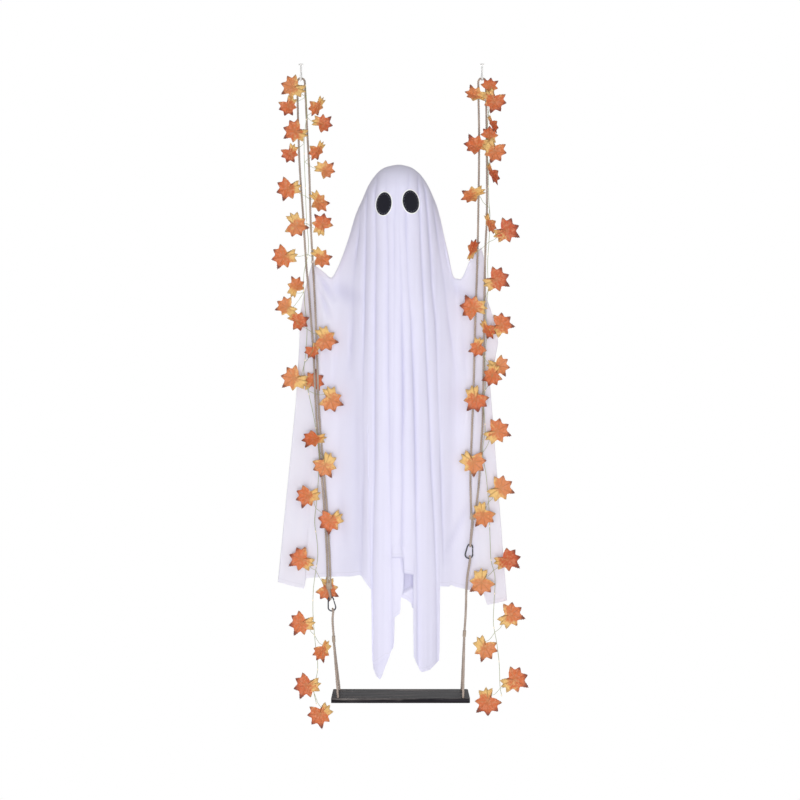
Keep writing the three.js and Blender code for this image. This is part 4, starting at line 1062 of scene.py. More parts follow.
@dataclass
class Ropes:
    """The four ropes that carry the swing, with the twine that binds them."""

    strand_radius: float = 0.00172
    lay_radius: float = 0.00168
    pitch: float = 0.021
    step: float = 0.003
    bight_radius: float = 0.011
    twine_radius: float = 0.0006
    twine_sides: int = 8
    twine_turns: int = 14
    twine_pitch: float = 2.05
    twine_room: float = 0.0004
    turn_steps: int = 20
    seat_spread: float = 0.042
    seat_thickness: float = 0.013
    groove: float = 0.0074
    SEAT_HOLES = {Side.LEFT: -0.152, Side.RIGHT: 0.204}

    def upper_line(self, side: Side) -> list[Vector]:
        """Route of the doubled rope, from its binding over the hook and back, then through the snap link."""
        route = ROUTES[side]
        top = -(LAYOUT.hook_bow - LAYOUT.hook_wire - LAYOUT.clearance - LAYOUT.rope_radius)
        centre = Vector((side.sign * LAYOUT.hang_span / 2, 0.0, top - self.bight_radius))
        bight = arc(centre, self.bight_radius, X, Z, 0, 180, 8)
        first, second = (route.inner, route.outer) if side is Side.LEFT else (route.outer, route.inner)
        knot = LAYOUT.place(route.knot)
        offset = LAYOUT.strand_offset
        crown = LAYOUT.on_link(side, 0, LAYOUT.link_height / 2 - LAYOUT.link_wire)
        turn = arc(crown, LAYOUT.link_wire + LAYOUT.clearance + LAYOUT.rope_radius, Y, Z, 180, 360, 6)
        points = [knot + X * offset, *(LAYOUT.place(s) for s in reversed(first)), *bight]
        points += [*(LAYOUT.place(s) for s in second), knot - X * offset - Z * 0.002]
        points += [knot - Y * offset - Z * 0.01, *turn, knot + Y * offset]
        return smoothed(points, self.step)

    def lower_line(self, side: Side) -> list[Vector]:
        """Route from the binding round under the board, back up, and over the foot of the snap link."""
        route = ROUTES[side]
        knot = LAYOUT.place(route.bridle)
        offset = LAYOUT.strand_offset
        radius = LAYOUT.rope_radius
        y = LAYOUT.rope_y(-LAYOUT.seat_drop)
        hole = self.SEAT_HOLES[side]
        top = -LAYOUT.seat_drop
        low = top - self.seat_thickness + self.groove - LAYOUT.clearance - radius
        leg = [(-1, top + radius), (-1, low + 2 * radius), (-0.9, low)]
        legs = leg + [(-share, z) for share, z in reversed(leg)]
        under = [Vector((hole, y + share * self.seat_spread, z)) for share, z in legs]
        up = LAYOUT.seat_axis()[1]
        foot = LAYOUT.on_link(side, 0, LAYOUT.link_low_centre()) - up * LAYOUT.link_bottom_radius
        turn = arc(foot, LAYOUT.link_wire + LAYOUT.clearance + radius, Y, up, 0, 180, 6)
        run = [LAYOUT.place(s) for s in route.lower]
        back = [p + Y * offset for p in reversed(run)]
        front = [p - Y * offset for p in run]
        points = [knot - Y * offset, *under, knot + Y * offset, *back, *turn, *front]
        points.append(knot - Y * offset + Z * 0.004)
        return smoothed(points, self.step)

    def rope(
        self, name: str, line: list[Vector], tree: bpy.types.NodeTree, finish: bpy.types.Material
    ) -> bpy.types.Object:
        """Lays one rope along its line."""
        return grown(
            name,
            line_object(name + "_line", [line]),
            tree,
            Strand_Radius=self.strand_radius,
            Lay_Radius=self.lay_radius,
            Pitch=self.pitch,
            Step=self.step,
            Finish=finish,
        )

    def binding(
        self, name: str, middle: Vector, along: Vector, wide: Vector, finish: bpy.types.Material
    ) -> bpy.types.Object:
        """Winds twine round two strands that lie side by side.

        Args:
            name: the piece's name.
            middle: centre of the winding.
            along: direction of the strands.
            wide: direction from one strand to the other.
            finish: the twine's material.

        Returns:
            The piece.
        """
        along = along.normalized()
        wide = (wide - along * wide.dot(along)).normalized()
        narrow = along.cross(wide)
        clear = LAYOUT.rope_radius + self.twine_radius + self.twine_room
        half_wide, half_narrow = clear + LAYOUT.strand_offset, clear
        length = self.twine_turns * self.twine_radius * self.twine_pitch
        count = self.twine_turns * self.turn_steps
        line = []
        for i in range(count + 1):
            angle = math.tau * self.twine_turns * i / count
            line.append(
                middle
                + along * (length * (i / count - 0.5))
                + wide * (half_wide * math.cos(angle))
                + narrow * (half_narrow * math.sin(angle))
            )
        made = piece(name, *tube(line, self.twine_radius, self.twine_sides), finish)
        store_fibres(made, self.twine_sides, 0.002)
        return made

    def build(self, rope_finish: bpy.types.Material, twine_finish: bpy.types.Material) -> None:
        tree = laid_rope_tree()
        for side in Side:
            route = ROUTES[side]
            for part, line, body, knot in (
                ("upper", self.upper_line(side), "swing", route.knot),
                ("lower", self.lower_line(side), "seat", route.bridle),
            ):
                name = f"{side.value}_{part}_rope"
                rope = self.rope(f"{name}_laid", line, tree, rope_finish)
                finished(rope, body, "jute_rope", name)
                middle = LAYOUT.place(knot)
                if part == "upper":
                    along = LAYOUT.place(route.outer[-1]) - LAYOUT.on_link(side, 0, LAYOUT.link_height / 2)
                    wide, raised = X, 0.004
                else:
                    along = LAYOUT.place(route.lower[-1]) - middle
                    wide, raised = Y, 0.006
                middle = middle + along.normalized() * raised
                winding = self.binding(f"{name}_binding", middle, along, wide, twine_finish)
                finished(winding, body, "jute_rope")
                length = sum((b - a).length for a, b in zip(line, line[1:]))
                log.info("%s is %.2f m of rope", name, length)


@dataclass
class Hooks:
    """Two ceiling hooks."""

    height: float = 0.036
    collar_radius: float = 0.007
    collar_height: float = 0.0025
    softened: float = 0.0006

    def build(self, finish: bpy.types.Material) -> None:
        """Makes both hooks."""
        for side in Side:
            centre = Vector((side.sign * LAYOUT.hang_span / 2, 0, 0))
            bow, top = LAYOUT.hook_bow, self.height
            points = arc(centre, bow, Y, Z, -200, 15, 24)
            points += [centre + Vector((0, bow * 0.75, bow * 1.1)), centre + Z * bow * 1.9]
            points += [centre + Z * (bow * 2.4), centre + Z * top]
            line = smoothed(points, 0.0015)
            radii = [LAYOUT.hook_wire * min(1.0, 0.55 + 0.15 * i) for i in range(len(line))]
            base, rim, soft = top - self.collar_height, self.collar_radius, self.softened
            profile = [(0, top), (rim - soft, top), (rim, top - soft)]
            profile += [(rim, base + soft), (rim - 0.0008, base), (0, base)]
            collar = turned(profile, 32, Matrix.Translation(centre))
            made = piece(f"{side.value}_hook_coated", *together(tube(line, radii, 14), collar), finish)
            finished(made, "hang", "hook_coating", f"{side.value}_ceiling_hook")


@dataclass
class SnapLinks:
    """Two pear-shaped snap links and their gates."""

    gate_radius: float = 0.0017
    gate_step: float = 0.0002
    foot_share: float = -0.16
    tip_share: float = 0.22

    def side_x(self, z: float) -> float:
        """Reach of the link's straight side at a height."""
        low, high = LAYOUT.link_low_centre(), self.high_centre()
        lean = (LAYOUT.link_bottom_radius - LAYOUT.link_top_radius) / (high - low)
        return LAYOUT.link_bottom_radius - (z - low) * lean

    def high_centre(self) -> float:
        """Height of the narrow end's centre in a link."""
        return LAYOUT.link_height / 2 - LAYOUT.link_wire - LAYOUT.link_top_radius

    def build(self, finish: bpy.types.Material) -> None:
        """Makes both links and both gates."""
        foot_z, tip_z = (LAYOUT.link_height * share for share in (self.foot_share, self.tip_share))
        for side in Side:
            high, low = self.high_centre() * Z, LAYOUT.link_low_centre() * Z
            local = [Vector((self.side_x(tip_z), 0, tip_z + LAYOUT.clearance))]
            local += arc(high, LAYOUT.link_top_radius, X, Z, 10, 170, 16)
            local += arc(low, LAYOUT.link_bottom_radius, X, Z, 190, 350, 22)
            local += [Vector((self.side_x(foot_z), 0, foot_z - 0.0005))]
            route = smoothed([LAYOUT.on_link(side, p.x, p.z) for p in local], 0.001)
            wire = tube(route, LAYOUT.link_wire, 16)
            foot = LAYOUT.on_link(side, self.side_x(foot_z), foot_z)
            tip = LAYOUT.on_link(side, self.side_x(tip_z), tip_z)
            lie = Matrix.Translation(foot) @ Matrix.Rotation(math.pi / 2, 4, "X")
            knuckle = disc(0.0019, 0.0007, 0.0014, lie)
            made = piece(f"{side.value}_link_wire", *together(wire, knuckle), finish)
            finished(made, "swing", "dark_steel", f"{side.value}_carabiner")
            along, reach = (tip - foot).normalized(), (tip - foot).length
            line = [foot + along * self.gate_step * i for i in range(int(reach / self.gate_step))]
            radii = [self.gate_radius * (0.8 if (p - foot).length > 0.86 * reach else 1.0) for p in line]
            ears = [disc(self.gate_radius, top, 0.0006, lie) for top in (0.0017, -0.0011)]
            gate = piece(f"{side.value}_link_gate", *together(tube(line[8:], radii[8:], 14), *ears), finish)
            finished(gate, f"{side.value}_gate", "dark_steel", f"{side.value}_gate")


@dataclass
class SeatBoard:
    """The board that the ropes carry, with softened edges."""

    bevel: float = 0.0016
    centre_x: float = 0.026
    length: float = 0.394
    depth: float = 0.105
    longest_edge: float = 0.012
    worn_depth: float = 0.003
    sat_length: float = 0.09
    sat_depth: float = 0.04

    def in_order(self, form: bmesh.types.BMesh) -> tuple[list[Vector], list[tuple[int, ...]]]:
        """Corners and faces sorted by place, so that every run numbers them the same way."""
        corners = sorted(form.verts, key=lambda corner: tuple(round(value, 6) for value in corner.co))
        number = {corner: i for i, corner in enumerate(corners)}
        faces = []
        for face in form.faces:
            ring = [number[corner] for corner in face.verts]
            start = ring.index(min(ring))
            faces.append(tuple(ring[start:] + ring[:start]))
        return [corner.co.copy() for corner in corners], sorted(faces)

    def build(self, finish: bpy.types.Material) -> None:
        """Rounds the edges of the board's own solid and marks where it is worn."""
        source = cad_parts["swing_seat"]
        form = bmesh.new()
        form.from_mesh(source.data)
        bmesh.ops.remove_doubles(form, verts=form.verts, dist=1e-5)
        bmesh.ops.dissolve_limit(form, angle_limit=0.01, verts=form.verts, edges=form.edges)
        sharp = [e for e in form.edges if len(e.link_faces) == 2 and e.calc_face_angle() > 0.4]
        bmesh.ops.bevel(
            form, geom=sharp, offset=self.bevel, segments=3, affect="EDGES", profile=0.6, clamp_overlap=True
        )
        bmesh.ops.triangulate(form, faces=form.faces)
        for _ in range(3):
            long_edges = [e for e in form.edges if e.calc_length() > self.longest_edge]
            bmesh.ops.subdivide_edges(form, edges=long_edges, cuts=1)
            bmesh.ops.triangulate(form, faces=form.faces)
        made = piece("seat_board_worn", *self.in_order(form), finish)
        form.free()
        mesh = made.data
        middle = Vector((self.centre_x, LAYOUT.rope_y(-1), -LAYOUT.seat_drop))
        low, high = (corner[2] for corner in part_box("swing_seat"))
        worn = []
        for vertex in mesh.vertices:
            away = vertex.co - middle
            below = high - vertex.co.z
            inwards = (self.length / 2 - abs(away.x), self.depth / 2 - abs(away.y), below, vertex.co.z - low)
            edge = sorted(inwards)[1]
            sat_on = max(0.0, 1 - (away.x / self.sat_length) ** 2 - (away.y / self.sat_depth) ** 2)
            sat_on *= below < self.worn_depth
            under = 0.8 if below > 0.004 else 0.0
            worn.append(max(1 - max(edge, 0.0) / self.worn_depth, sat_on) - under)
        store(made, "wear", worn)
        mesh.set_sharp_from_angle(angle=math.radians(35))
        finished(made, "seat", "stained_wood", "swing_seat")


@dataclass
class Cloth:
    """The sheet, as columns that fall from its ridge to its hem."""

    middle: float = 0.019
    width: float = 0.664
    drop: float = 1.492
    crown: float = width * 0.1386
    top: float = crown - 0.348
    thickness: float = 0.0012
    panel_front: float = 0.008
    panel_back: float = 0.015
    panel_round: float = 0.03
    drape_front: float = 0.082
    drape_back: float = 0.088
    # Shares of the drop: the head, and below it the ways to the full spread and the full depth
    head_share: float = 0.06
    spread_share: float = 0.15
    deep_share: float = 0.4
    halves_step: float = 0.03
    wave_depth: float = 0.002
    fine_depth: float = 0.0007
    rows: int = 88
    coarse: int = 4
    fine: int = 12
    fine_from: int = 8
    fine_to: int = 24

    # Columns: where each starts on the ridge and where it ends at the hem, both across and down
    COLUMNS = (
        (-0.377, 0.192, -0.525, 0.809), (-0.354, 0.197, -0.469, 0.816), (-0.334, 0.204, -0.412, 0.822),
        (-0.317, 0.21, -0.399, 0.801), (-0.299, 0.217, -0.334, 0.799), (-0.282, 0.214, -0.269, 0.798),
        (-0.247, 0.181, -0.208, 0.796), (-0.213, 0.137, -0.158, 0.79), (-0.187, 0.098, -0.131, 0.804),
        (-0.156, 0.066, -0.11, 0.812), (-0.126, 0.037, -0.104, 0.961), (-0.091, 0.016, -0.075, 0.987),
        (-0.061, 0.006, -0.048, 0.965), (-0.03, 0.002, -0.017, 0.923), (-0.004, 0, 0.009, 0.833),
        (0.011, 0, 0.022, 0.757), (0.033, 0.002, 0.041, 0.778), (0.056, 0.005, 0.06, 0.791),
        (0.074, 0.01, 0.074, 0.938), (0.098, 0.019, 0.102, 0.972), (0.121, 0.033, 0.129, 0.968),
        (0.141, 0.049, 0.151, 0.953), (0.156, 0.064, 0.168, 0.936), (0.171, 0.081, 0.178, 0.814),
        (0.187, 0.108, 0.21, 0.809), (0.204, 0.143, 0.252, 0.818), (0.221, 0.176, 0.291, 0.822),
        (0.239, 0.213, 0.334, 0.827), (0.258, 0.22, 0.371, 0.831), (0.282, 0.2165, 0.39, 0.853),
        (0.317, 0.1815, 0.43, 0.85), (0.363, 0.159, 0.475, 0.845),
    )
    # Hem between the side panels, across and down: the two long points and the gap between them
    HEM = (
        (-0.1646, 0.7917), (-0.1575, 0.7931), (-0.1373, 0.8055), (-0.1136, 0.8185), (-0.111, 0.834),
        (-0.109, 0.955), (-0.1041, 0.9615), (-0.0523, 0.9432), (-0.037, 0.9436), (-0.0311, 0.9333),
        (-0.0175, 0.9217), (-0.0165, 0.9075), (-0.016, 0.8737), (-0.0155, 0.868), (0.0083, 0.8604),
        (0.0112, 0.8473), (0.0121, 0.8303), (0.0146, 0.8285), (0.0235, 0.8135), (0.0242, 0.774),
        (0.0655, 0.778), (0.066, 0.85), (0.0668, 0.9423), (0.0804, 0.9563), (0.0933, 0.9703),
        (0.1032, 0.9739), (0.1367, 0.9715), (0.1591, 0.9631), (0.1794, 0.9554), (0.18, 0.9208),
        (0.1805, 0.8433), (0.181, 0.8201), (0.182, 0.8142), (0.1998, 0.815), (0.226, 0.8169),
    )
    # Half width of the drape to the left and to the right, at every 3% of the drop
    HALVES = (
        (0.1386, 0.1386), (0.141, 0.141), (0.153, 0.152), (0.18, 0.172), (0.204, 0.19), (0.228, 0.208),
        (0.252, 0.225), (0.27, 0.243), (0.28, 0.256), (0.285, 0.266), (0.287, 0.272), (0.287, 0.276),
    )
    # Hem of the back: share of the way from edge to edge, and down
    BACK_HEM = ((0, 0.809), (0.2, 0.784), (0.4, 0.777), (0.52, 0.79), (0.66, 0.782), (0.8, 0.79), (1, 0.845))
    # Outer edges: share of the way down, and how far they swing aside
    LEFT_EDGE = ((0, 0), (0.08, -0.018), (0.16, -0.028), (0.25, -0.017), (0.44, -0.005), (1, 0))
    RIGHT_EDGE = (
        (0, 0), (0.05, 0.015), (0.14, 0.006), (0.21, 0.036), (0.27, 0.044), (0.33, 0.02), (0.39, -0.005),
        (1, 0),
    )
    # Creases from the head down: down, across, and how deep
    CREASES = (
        ((0.117, -0.194, 0.25), (0.146, -0.216, 0.4), (0.175, -0.239, 0.45), (0.208, -0.253, 0.2)),
        (
            (0.078, -0.162, 0.15), (0.117, -0.166, 0.3), (0.146, -0.171, 0.6), (0.175, -0.181, 0.7),
            (0.204, -0.189, 0.45), (0.233, -0.194, 0.25), (0.301, -0.192, 0.3), (0.349, -0.203, 0.45),
            (0.402, -0.216, 0.15),
        ),
        (
            (0.034, -0.125, 0.25), (0.061, -0.132, 0.5), (0.118, -0.137, 0.4), (0.177, -0.139, 0.7),
            (0.235, -0.142, 0.7), (0.303, -0.144, 0.75), (0.398, -0.15, 0.45), (0.494, -0.151, 0.25),
            (0.59, -0.148, 0.4), (0.647, -0.153, 0.7), (0.685, -0.154, 0.55), (0.782, -0.158, 0.4),
        ),
        (
            (0.034, -0.09, 0.3), (0.066, -0.099, 0.5), (0.123, -0.096, 0.4), (0.181, -0.093, 0.55),
            (0.238, -0.097, 0.65), (0.304, -0.097, 0.75), (0.399, -0.099, 0.75), (0.588, -0.1, 0.65),
            (0.683, -0.106, 0.5), (0.778, -0.11, 0.5), (0.873, -0.107, 0.3),
        ),
        (
            (0.036, -0.051, 0.1), (0.125, -0.047, 0.35), (0.182, -0.043, 0.45), (0.305, -0.043, 0.65),
            (0.399, -0.042, 0.65), (0.493, -0.038, 0.6), (0.588, -0.036, 0.4), (0.682, -0.03, 0.3),
            (0.776, -0.028, 0.25), (0.87, -0.026, 0.45),
        ),
        (
            (0.05, -0.009, 0.1), (0.126, -0.016, 0.3), (0.182, -0.017, 0.45), (0.239, -0.015, 0.3),
            (0.399, -0.018, 0.15), (0.588, -0.025, 0.25), (0.644, -0.026, 0.1),
        ),
        (
            (0.037, 0.004, 0.05), (0.126, 0.004, 0.15), (0.182, 0.008, 0.3), (0.239, 0.014, 0.45),
            (0.305, 0.016, 0.65), (0.399, 0.02, 1), (0.475, 0.021, 1.1), (0.54, 0.018, 0.7),
            (0.635, 0.02, 0.65), (0.729, 0.016, 0.6), (0.752, 0.018, 0.3),
        ),
        (
            (0.036, 0.046, 0.2), (0.087, 0.034, 0.4), (0.125, 0.033, 0.6), (0.182, 0.039, 0.45),
            (0.239, 0.044, 0.4), (0.305, 0.056, 0.65), (0.399, 0.064, 0.9), (0.484, 0.07, 1.1),
            (0.588, 0.075, 0.9), (0.682, 0.077, 0.65), (0.777, 0.083, 0.5), (0.872, 0.084, 0.55),
        ),
        (
            (0.034, 0.085, 0.45), (0.066, 0.087, 0.6), (0.123, 0.095, 0.55), (0.18, 0.099, 0.6),
            (0.237, 0.106, 0.75), (0.304, 0.114, 0.7), (0.399, 0.124, 0.7), (0.494, 0.135, 0.5),
            (0.589, 0.143, 0.7), (0.686, 0.155, 0.55), (0.782, 0.164, 0.4), (0.88, 0.168, 0.45),
        ),
        (
            (0.033, 0.102, 0.3), (0.058, 0.116, 0.7), (0.12, 0.129, 0.6), (0.177, 0.139, 0.8),
            (0.235, 0.144, 0.65), (0.302, 0.161, 0.75), (0.398, 0.169, 0.3), (0.494, 0.177, 0.3),
            (0.591, 0.185, 0.6), (0.688, 0.191, 0.65), (0.756, 0.197, 0.3),
        ),
        (
            (0.078, 0.148, 0.4), (0.117, 0.163, 0.6), (0.146, 0.172, 0.5), (0.184, 0.185, 0.3),
            (0.233, 0.201, 0.3), (0.301, 0.217, 0.4), (0.349, 0.234, 0.4), (0.388, 0.243, 0.2),
        ),
        (
            (0.117, 0.182, 0.15), (0.146, 0.198, 0.3), (0.175, 0.208, 0.45), (0.204, 0.222, 0.25),
            (0.237, 0.252, 0.2),
        ),
    )
    crease_depth: float = 0.0021
    crease_width: float = 0.003
    crease_fade: float = 0.03
    crease_open: float = 0.85
    # The back's folds are the front's, mirrored: how far they sway, how often, and their share of its width
    back_sway: float = 0.012
    back_waves: float = 4.3
    back_share: float = 0.97
    valley_depth: float = 0.0034
    valley_width: float = 0.0085
    # Soft wrinkles of the side panels: two ends across and down, width in metres, and how deep
    WRINKLES = (
        (-0.362, 0.2, -0.283, 0.262, 0.0092, 1.2),
        (-0.353, 0.229, -0.296, 0.297, 0.0075, 0.9),
        (-0.29, 0.231, -0.19, 0.262, 0.022, 1.2),
        (-0.205, 0.262, -0.199, 0.413, 0.0063, 0.5),
        (-0.179, 0.427, -0.177, 0.766, 0.013, 0.6),
        (-0.253, 0.63, -0.229, 0.743, 0.0072, 0.4),
        (-0.436, 0.591, -0.466, 0.795, 0.0115, 0.45),
        (-0.397, 0.514, -0.414, 0.766, 0.0101, 0.4),
        (-0.318, 0.32, -0.309, 0.456, 0.0115, 0.4),
        (-0.262, 0.32, -0.296, 0.494, 0.0086, 0.35),
        (0.222, 0.231, 0.322, 0.256, 0.0187, 0.75),
        (0.283, 0.33, 0.298, 0.417, 0.0081, 0.5),
        (0.304, 0.659, 0.213, 0.748, 0.0086, 0.8),
        (0.252, 0.378, 0.235, 0.543, 0.0202, 0.5),
        (0.409, 0.514, 0.431, 0.766, 0.0101, 0.4),
        (0.383, 0.262, 0.409, 0.349, 0.0086, 0.6),
        (0.339, 0.262, 0.348, 0.494, 0.0115, 0.45),
        (0.235, 0.553, 0.222, 0.766, 0.0101, 0.4),
    )
    # Loose pieces of the front: the lining behind the left point, the inner fold and the front fold; shade is
    # painted shade on a piece's upper part, rim a painted shadow line along its lower edge
    FLAPS = (
        {
            "upper": ((-0.108, 0.93), (-0.037, 0.915)),
            "lower": (
                (-0.108, 0.957), (-0.1067, 0.9674), (-0.0937, 0.9807), (-0.0796, 0.9873), (-0.0723, 0.9843),
                (-0.0531, 0.961), (-0.0375, 0.944),
            ),
            "behind": (0.003, 0.005),
            "shade": 0.3,
        },
        {
            "upper": ((-0.005, 0.768), (0.08, 0.768)),
            "lower": (
                (-0.005, 0.8285), (0.0121, 0.8295), (0.0375, 0.835), (0.0565, 0.842), (0.0608, 0.85),
                (0.08, 0.86),
            ),
            "behind": (0.013, 0.005),
            "fold": ((-0.005, 0.8232), (0.0041, 0.8228), (0.0549, 0.8121), (0.0804, 0.809)),
            "shade": 0.95,
        },
        {
            "upper": ((-0.0256, 0.728), (0.0655, 0.733)),
            "lower": (
                (-0.0256, 0.7544), (0.021, 0.7543), (0.0225, 0.778), (0.0242, 0.7834), (0.0655, 0.7875),
            ),
            "behind": (0.0002, -0.007),
            "rim": 0.9,
        },
    )
    wrinkle_depth: float = 0.011
    # Width of the painted shadow line along a flap's lower edge
    rim_width: float = 0.0035
    wire_room: float = 0.0046
    wire_reach: float = 0.007

    def read(self, table: Shares, at: np.ndarray, value: int = 1) -> np.ndarray:
        """Reads a table of shares at many places."""
        rows = np.array(table, dtype=float)
        return np.interp(at, rows[:, 0], rows[:, value])

    def ease(self, share: np.ndarray) -> np.ndarray:
        """Smooth step of a share."""
        kept = np.clip(share, 0, 1)
        return kept * kept * (3 - 2 * kept)

    def opened(self, share: np.ndarray) -> np.ndarray:
        """Quarter circle from 0 to 1."""
        return np.sqrt(np.clip(1 - (1 - np.clip(share, 0, 1)) ** 2, 0, 1))

    def index(self) -> np.ndarray:
        """Places of the fine columns among the main ones, closer together in the middle."""
        steps = [0.0, 0.03, 0.08]
        for i in range(len(self.COLUMNS) - 1):
            count = self.fine if self.fine_from <= i < self.fine_to else self.coarse
            steps += [i + (k + 1) / count for k in range(count)]
        return np.array(steps[:-1] + [steps[-1] - 0.08, steps[-1] - 0.03, steps[-1]])

    def between(self, index: np.ndarray, values: np.ndarray) -> np.ndarray:
        """Soft curve through the main columns' values."""
        ends = np.concatenate([[2 * values[0] - values[1]], values, [2 * values[-1] - values[-2]]])
        low = np.minimum(index.astype(int), len(values) - 2)
        t = index - low
        a, b, c, d = (ends[low + i] for i in range(4))
        return b + 0.5 * t * (c - a + t * (2 * a - 5 * b + 4 * c - d + t * (3 * (b - c) + d - a)))

    def crease(self, x: np.ndarray, z: np.ndarray, back: bool) -> tuple[np.ndarray, np.ndarray]:
        """Sharp and soft depth of the folds, from 0 on a crest to about 1 in the deepest crease."""
        share = (x - self.middle) / self.width
        down = (self.top - z) / self.drop
        if back:
            share = self.back_sway * np.sin(down * self.back_waves) - share * self.back_share
        sharp, soft = np.zeros_like(x), np.zeros_like(x)
        for track in self.CREASES:
            rows = np.array(track)
            at = np.interp(down, rows[:, 0], rows[:, 1])
            starts = self.ease((down - rows[0, 0]) / self.crease_fade + 1)
            ends = self.ease((rows[-1, 0] - down) / self.crease_fade + 1)
            if rows[-1, 0] > self.crease_open:
                ends = 1.0
            depth = np.interp(down, rows[:, 0], rows[:, 2]) * starts * ends
            away = np.abs(share - at) * self.width
            sharp = np.maximum(sharp, depth * np.exp(-((away / self.crease_width) ** 2)))
            soft += depth * np.exp(-((away / self.valley_width) ** 2))
        return sharp, soft

    def wrinkle(self, x: np.ndarray, z: np.ndarray) -> np.ndarray:
        """Depth of the side panels' soft wrinkles, from 0 to about 1."""
        across = x - self.middle
        down = self.top - z
        result = np.zeros_like(x)
        for x0, z0, x1, z1, width, depth in self.WRINKLES:
            start = np.array([x0 * self.width, z0 * self.drop])
            along, away = off_line(across, down, start, np.array([x1 * self.width, z1 * self.drop]))
            fade = np.sin(np.clip(along, 0.06, 0.94) * math.pi) ** 0.5
            result += depth * fade * np.exp(-((away / width) ** 2))
        return result

    def wire_floor(self, x: np.ndarray, z: np.ndarray) -> np.ndarray:
        """Least depth of the front, so that it clears the arm wire."""
        nearest = np.full_like(x, 1.0)
        for start, end in zip(np.array(ARM_ROUTE), np.array(ARM_ROUTE[1:])):
            nearest = np.minimum(nearest, off_line(x, z, start, end)[1])
        return self.wire_room * np.exp(-((nearest / self.wire_reach) ** 4))

    def noise(self, x: np.ndarray, z: np.ndarray, wide: float, tall: float, seed: float) -> np.ndarray:
        """Soft noise with that many waves to the metre across and down."""
        flat = [solid_noise(Vector((a * wide, seed, b * tall))) for a, b in zip(x.ravel(), z.ravel())]
        return np.array(flat).reshape(x.shape)

    def surface(
        self,
        x: np.ndarray,
        z: np.ndarray,
        back: bool,
        rounding: np.ndarray | float,
        panel: np.ndarray | float,
    ) -> tuple[np.ndarray, np.ndarray]:
        """Depth of a panel from the sheet's middle plane, and the painted shade of its folds.

        Args:
            x: places across.
            z: heights.
            back: whether it is the back panel.
            rounding: share of the drape's depth under the ridge.
            panel: share of the side panel's depth under the ridge and near the outer edge.

        Returns:
            Depths and painted shade tints, which are 1 on a crest and 0 in the darkest painted crease.
        """
        below = (self.top - z) / self.drop
        spread = self.ease((below - self.head_share) / self.spread_share)
        table = np.array(self.HALVES)
        step = np.clip(below / self.halves_step, 0, len(table) - 1)
        halves = (self.between(step, table[:, i]) for i in (0, 1))
        half = np.where(x < self.middle, *halves) * self.width
        full = self.drape_back if back else self.drape_front
        deep = self.crown + (full - self.crown) * self.ease((below - self.head_share) / self.deep_share)
        aside = (x - self.middle) / half
        drape = deep * np.clip(1 - aside**2, 0, 1) ** (0.5 + 1.1 * spread) * rounding
        depth = np.hypot(drape, (self.panel_back if back else self.panel_front) * panel)
        sharp, soft = self.crease(x, z, back)
        inside = self.ease((1.15 - np.abs(aside)) / 0.3)
        free = self.ease((self.top - z) / 0.04) * panel
        lively = (0.35 + 0.65 * inside) * free * (1.15 + 0.4 * (1 - spread))
        wrinkle = self.wrinkle(x, z) * free
        depth = depth - lively * (self.crease_depth * sharp + self.valley_depth * soft)
        depth = depth + (-0.5 if not back else 0.5) * self.wrinkle_depth * wrinkle
        wave = self.noise(x, z, 15, 4, 3.0 + back)
        fine = self.noise(x, z, 95, 2.2, 8.0 + back)
        fine = fine * self.ease((self.top - z - 0.05) / 0.2)
        depth = depth + (self.wave_depth * wave + self.fine_depth * fine) * free
        if not back:
            depth = np.maximum(depth, self.wire_floor(x, z) * np.clip(panel * 3.0, 0, 1))
        # Painted shade: darker in creases and in the side panels' wrinkles
        shade_tint = 1 - np.clip(lively * (0.55 * sharp + 0.35 * soft) + 0.5 * wrinkle, 0, 1)
        return depth, shade_tint

    def panel(self, back: bool) -> tuple[np.ndarray, np.ndarray, np.ndarray]:
        """Points of one panel.

        Args:
            back: whether it is the back panel.

        Returns:
            Points by row and column, the painted fold shade, and the distance to the hem.
        """
        table = np.array(self.COLUMNS)
        index = self.index()
        ridge_x, ridge_down, hem_x, hem_down = (self.between(index, table[:, i]) for i in range(4))
        ridge_down = np.maximum(ridge_down, 0)
        along = index / index[-1]
        if back:
            hem_x = (hem_x + hem_x[0] + (hem_x[-1] - hem_x[0]) * along) / 2
            hem_down = self.read(self.BACK_HEM, along) + 0.004 * np.sin(along * 23)
        else:
            hem_x = np.maximum.accumulate(hem_x)
            plain = np.interp(index, np.arange(len(table)), table[:, 3])
            hem = self.read(self.HEM, hem_x)
            within = (hem_x > self.HEM[0][0]) & (hem_x < self.HEM[-1][0])
            hem_down = np.where(within, hem, plain)
        fall = (hem_down - ridge_down) * self.drop
        ridge_x = self.middle + ridge_x * self.width
        hem_x = self.middle + hem_x * self.width
        crown_rows = self.rows // 4
        angles = np.linspace(0, math.pi / 2, crown_rows)
        top_rows = self.crown * (1 - np.cos(angles))
        rest = np.linspace(0, 1, self.rows - crown_rows + 1)[1:]
        low_rows = self.crown + rest[:, None] * (fall[None, :] - self.crown)
        down = np.concatenate([np.tile(top_rows[:, None], (1, len(index))), low_rows])
        share = down / fall[None, :]
        last = index[-1]
        left_fade = np.clip(1 - index / 2.5, 0, 1)[None, :]
        right_fade = np.clip(1 - (last - index) / 2.5, 0, 1)[None, :]
        swing = left_fade * self.read(self.LEFT_EDGE, share) + right_fade * self.read(self.RIGHT_EDGE, share)
        x = ridge_x[None, :] * (1 - share) + hem_x[None, :] * share + swing * self.width
        z = self.top - ridge_down[None, :] * self.drop - down
        inwards = np.minimum(index, last - index)
        edge = (0.2 * self.opened(inwards / 0.08) + 0.8 * np.clip(inwards / 3, 0, 1))[None, :]
        ridge_aside = np.clip(np.abs(ridge_x - self.middle) / self.crown, 0, 1)
